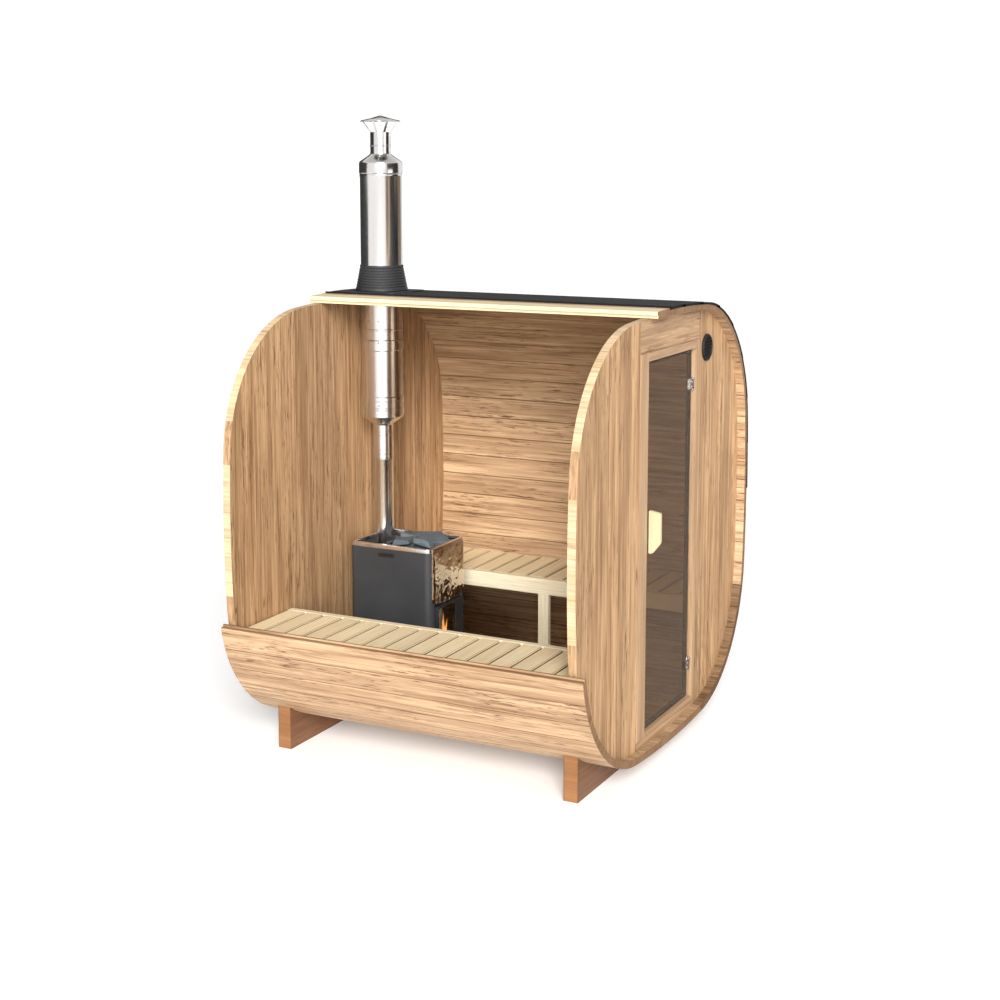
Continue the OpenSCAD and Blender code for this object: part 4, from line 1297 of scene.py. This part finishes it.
for v in bm.verts:
    v.co.z = min(max(v.co.z, basket_low + 0.001), heap_top)
    v.co.x = min(max(v.co.x, inner_low.x + 0.002), inner_high.x - 0.002)
    v.co.y = min(max(v.co.y, inner_low.y + 0.002), inner_high.y - 0.002)
    away = Vector((v.co.x - flue_x, v.co.y - flue_y))
    if away.length < pipe_clear:
        away = away.normalized() * pipe_clear
        v.co.x, v.co.y = flue_x + away.x, flue_y + away.y
bmesh.ops.bevel(bm, geom=list(bm.edges), offset=0.0014, segments=1, affect="EDGES")
stones = made("stones", bm, stone_grey, crease=20)
settled(stones, "sauna", "stone", "stove_stones")

# ---------------------------------------------------------------- flue and chimney
# Stainless pipe, spun and seamed. The bare flue leaves the stove with a rolled bead at each
# joint, then a cone steps it out to the insulated chimney, whose sections lap in collars.
flue_steel = grained("flue_steel", (0.80, 0.775, 0.755), (0.70, 0.675, 0.655), 3, 150, 0.15, 0.22, 0.004,
                     metal=1.0,
                     stretch=(6, 6, 0.35))
steel_wall = 0.002
flue_r = 0.0535
chimney_r = (pipe_high.x - pipe_low.x) / 2
flue_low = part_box("flue_pipe")[0].z
cone_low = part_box("flue_cone")[0].z
cone_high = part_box("flue_cone")[1].z
top_cone_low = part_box("outlet_cone")[0].z
top_cone_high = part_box("outlet_cone")[1].z
outlet_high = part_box("outlet_pipe")[1].z


def bead(radius, z, height, proud):
    """A rolled bead on a pipe: four points, from low to high."""
    return [(radius, z - height / 2), (radius + proud, z - height / 4), (radius + proud, z + height / 4),
            (radius, z + height / 2)]


def turned(name, section, material=None):
    """A pipe or cone turned about the flue's axis from a closed section of (radius, height)."""
    bm = bmesh.new()
    ring_solid(bm, section, (flue_x, flue_y, 0), segments=96)
    return made(name, bm, material or flue_steel)


sleeve = 0.0012
section = [(flue_r - steel_wall, flue_low), (flue_r, flue_low), (flue_r, 1.355), (flue_r + sleeve, 1.357)]
for z in (1.366, 1.388, 1.412, 1.492, 1.510):
    section += bead(flue_r + sleeve, z, 0.007, 0.0016)
section += [(flue_r + sleeve, cone_low), (flue_r - steel_wall, cone_low)]
lower_flue = turned("lower_flue", section)
settled(lower_flue, "sauna", "flue_steel", "flue_pipe")

reducer = turned("reducer", [(flue_r - steel_wall, cone_low), (flue_r + sleeve, cone_low),
                             (flue_r + 0.004, cone_low + 0.006), (chimney_r - 0.003, cone_high - 0.004),
                             (chimney_r, cone_high), (chimney_r - steel_wall, cone_high)])
settled(reducer, "sauna", "flue_steel", "flue_cone")

collar = 0.0032
section = [(flue_r, cone_high), (chimney_r, cone_high), (chimney_r + collar, cone_high + 0.004)]
section += [(chimney_r + collar, 1.628)] + bead(chimney_r + collar, 1.634, 0.006, 0.0015)
section += bead(chimney_r + collar, 1.644, 0.006, 0.0015)
section += [(chimney_r + collar, 1.676)] + bead(chimney_r + collar, 1.682, 0.005, 0.001)
section += [(chimney_r + collar, 1.701), (chimney_r, 1.706), (chimney_r, 1.950), (chimney_r + collar, 1.954),
            (chimney_r + collar, 2.006), (chimney_r, 2.010), (chimney_r, 2.058), (chimney_r + 0.0016, 2.0605),
            (chimney_r + 0.0016, 2.0655), (chimney_r, 2.068), (chimney_r, 2.868), (chimney_r + 0.0022, 2.872),
            (chimney_r + 0.0022, 2.880), (chimney_r, 2.884), (chimney_r + 0.0042, 2.888),
            (chimney_r + 0.0042, top_cone_low - 0.004), (chimney_r + 0.002, top_cone_low),
            (flue_r, top_cone_low)]
chimney = turned("chimney", section)
settled(chimney, "sauna", "flue_steel", "insulated_pipe")

shoulder = 0.006
top_cone = turned("top_cone", [(chimney_r - steel_wall, top_cone_low), (chimney_r + 0.002, top_cone_low),
                               (chimney_r - 0.002, top_cone_low + shoulder),
                               (flue_r + 0.003, top_cone_high - shoulder),
                               (flue_r + 0.0015, top_cone_high), (flue_r - steel_wall, top_cone_high)])
settled(top_cone, "sauna", "flue_steel", "outlet_cone")

section = [(flue_r - steel_wall, top_cone_high), (flue_r, top_cone_high)] + bead(flue_r, 3.029, 0.007, 0.0022)
section += [(flue_r, outlet_high - 0.0006), (flue_r - 0.0006, outlet_high),
            (flue_r - steel_wall, outlet_high)]
outlet = turned("outlet", section)
settled(outlet, "sauna", "flue_steel", "outlet_pipe")

# ---------------------------------------------------------------- chimney screws
# Self-tapping screws pin each collar of the chimney and the sleeve of the flue, in a ring.
screw_steel = grained("screw_steel", (0.16, 0.155, 0.15), (0.10, 0.10, 0.10), 50, 900, 0.35, 0.5, 0.1,
                      metal=1.0)
screw_radius = 0.0038


def screw_ring(name, radius, z, count, first):
    """Screw heads standing out all round a pipe, laid on a circle about its axis."""
    bm = bmesh.new()
    for i in range(count):
        a = first + math.tau * i / count
        out = Vector((math.cos(a), math.sin(a), 0))
        side = Vector((-math.sin(a), math.cos(a), 0))
        loops = []
        for share, lift in ((1.0, -0.001), (1.0, 0.0008), (0.7, 0.0022), (0.35, 0.0026), (0.35, 0.0012)):
            loops.append([bm.verts.new(Vector((flue_x, flue_y, z)) + out * (radius + lift)
                                       + side * (screw_radius * share * math.cos(math.tau * k / 10))
                                       + Vector((0, 0, screw_radius * share * math.sin(math.tau * k / 10))))
                          for k in range(10)])
        for low, high in zip(loops, loops[1:]):
            for k in range(10):
                bm.faces.new((low[k], low[(k + 1) % 10], high[(k + 1) % 10], high[k]))
        bm.faces.new(loops[0])
        bm.faces.new(loops[-1])
    ring = made(name, bm, screw_steel)
    settled(ring, "sauna", "flue_steel")


for name, radius, z, count in (("collar_screws_low", chimney_r + collar, 1.660, 12),
                               ("collar_screws_middle", chimney_r + collar, 1.996, 12),
                               ("collar_screws_high", chimney_r, 2.110, 12)):
    screw_ring(name, radius, z, count, 0.35)

# ---------------------------------------------------------------- rain cap
# A spun cone keeps the rain out. Four flat strips, riveted to the outlet, lean out to its rim.
cap_low, cap_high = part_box("rain_cap")
cap_r = (cap_high.x - cap_low.x) / 2
cap_sheet = 0.0015
rise = cap_high.z - cap_low.z
cap_sheet_top = [(cap_r, cap_low.z + 0.0015), (cap_r * 0.94, cap_low.z + 0.0060),
                 (cap_r * 0.5, cap_low.z + rise * 0.52), (cap_r * 0.06, cap_high.z - 0.0012),
                 (0, cap_high.z - 0.0003)]
section = cap_sheet_top[::-1] + [(cap_r, cap_low.z), (cap_r - 0.002, cap_low.z)]
section += [(r - 0.001, z - cap_sheet) for r, z in cap_sheet_top[1:-1]]
section += [(0, cap_high.z - 0.0003 - cap_sheet)]
rain_hat = turned("rain_hat", section)
settled(rain_hat, "sauna", "flue_steel", "rain_cap")
refinish("rain_cap_struts", flue_steel)

# ---------------------------------------------------------------- chimney boot
# A moulded rubber boot seals the chimney to the roof: a ribbed bell clamped round the pipe,
# on a square flange that is bent to the roof and bedded on the felt.
boot_rubber = grained("boot_rubber", (0.023, 0.023, 0.024), (0.016, 0.016, 0.017), 9, 700, 0.52, 0.68, 0.15)
boot_low, boot_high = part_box("chimney_boot")
boot_r = (boot_high.x - boot_low.x) / 2
ribs = 8
rib_height = (boot_high.z - boot_low.z - 0.018) / ribs
section = [(chimney_r, boot_low.z), (boot_r, boot_low.z), (boot_r, boot_low.z + 0.004)]
for i in range(ribs):
    z0 = boot_low.z + 0.006 + rib_height * i
    r0 = boot_r - (boot_r - chimney_r - 0.006) * i / ribs
    r1 = boot_r - (boot_r - chimney_r - 0.006) * (i + 1) / ribs
    section += [(r0 - 0.0004, z0 + 0.0010), (r0 - 0.0006, z0 + 0.0060),
                (r1 - 0.0032, z0 + rib_height - 0.0015)]
section += [(chimney_r + 0.0055, boot_high.z - 0.010), (chimney_r + 0.0055, boot_high.z - 0.001),
            (chimney_r + 0.0045, boot_high.z), (chimney_r, boot_high.z)]
boot = turned("boot_bell", section, boot_rubber)
settled(boot, "sauna", "boot_rubber", "chimney_boot")

flange_low, flange_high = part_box("boot_flange")
flange_half = (flange_high.y - flange_low.y) / 2
flange_r = 0.035
outline = rounded_outline(flue_x - flange_half, flue_x + flange_half, flue_y - flange_half,
                          flue_y + flange_half,
                          flange_r, flange_r, steps=8)
dense = []
for i in range(len(outline)):
    (ax, ay), (bx, by) = outline[i], outline[(i + 1) % len(outline)]
    parts = max(1, round(math.hypot(bx - ax, by - ay) / 0.025))
    dense += [(ax + (bx - ax) * k / parts, ay + (by - ay) * k / parts) for k in range(parts)]


def roof_height(x, lift):
    """Height over the roof's flat at a place, by how far the surface lies outside the staves."""
    return middle_z + top_centre + math.sqrt((outer_flat + lift) ** 2 - x * x)


def inset_ring(points, inset):
    middle = Vector((flue_x, flue_y))
    share = 1 - inset / flange_half
    return [tuple(middle + (Vector(p) - middle) * share) for p in points]


bm = bmesh.new()
base_lift = felt_gap + felt_thick - 0.0005
profile = [(0.060, base_lift), (0.0, base_lift), (0.0, base_lift + 0.0045), (0.0012, base_lift + 0.0060),
           (0.0100, base_lift + 0.0060), (0.0125, base_lift + 0.0035), (0.060, base_lift + 0.0035)]
rings = [[bm.verts.new((x, y, roof_height(x, lift))) for x, y in inset_ring(dense, inset)]
         for inset, lift in profile]
for a, b in zip(rings, rings[1:] + rings[:1]):
    for i in range(len(dense)):
        j = (i + 1) % len(dense)
        bm.faces.new((a[i], a[j], b[j], b[i]))
flange = made("boot_flange_sheet", bm, boot_rubber)
settled(flange, "sauna", "boot_rubber", "boot_flange")
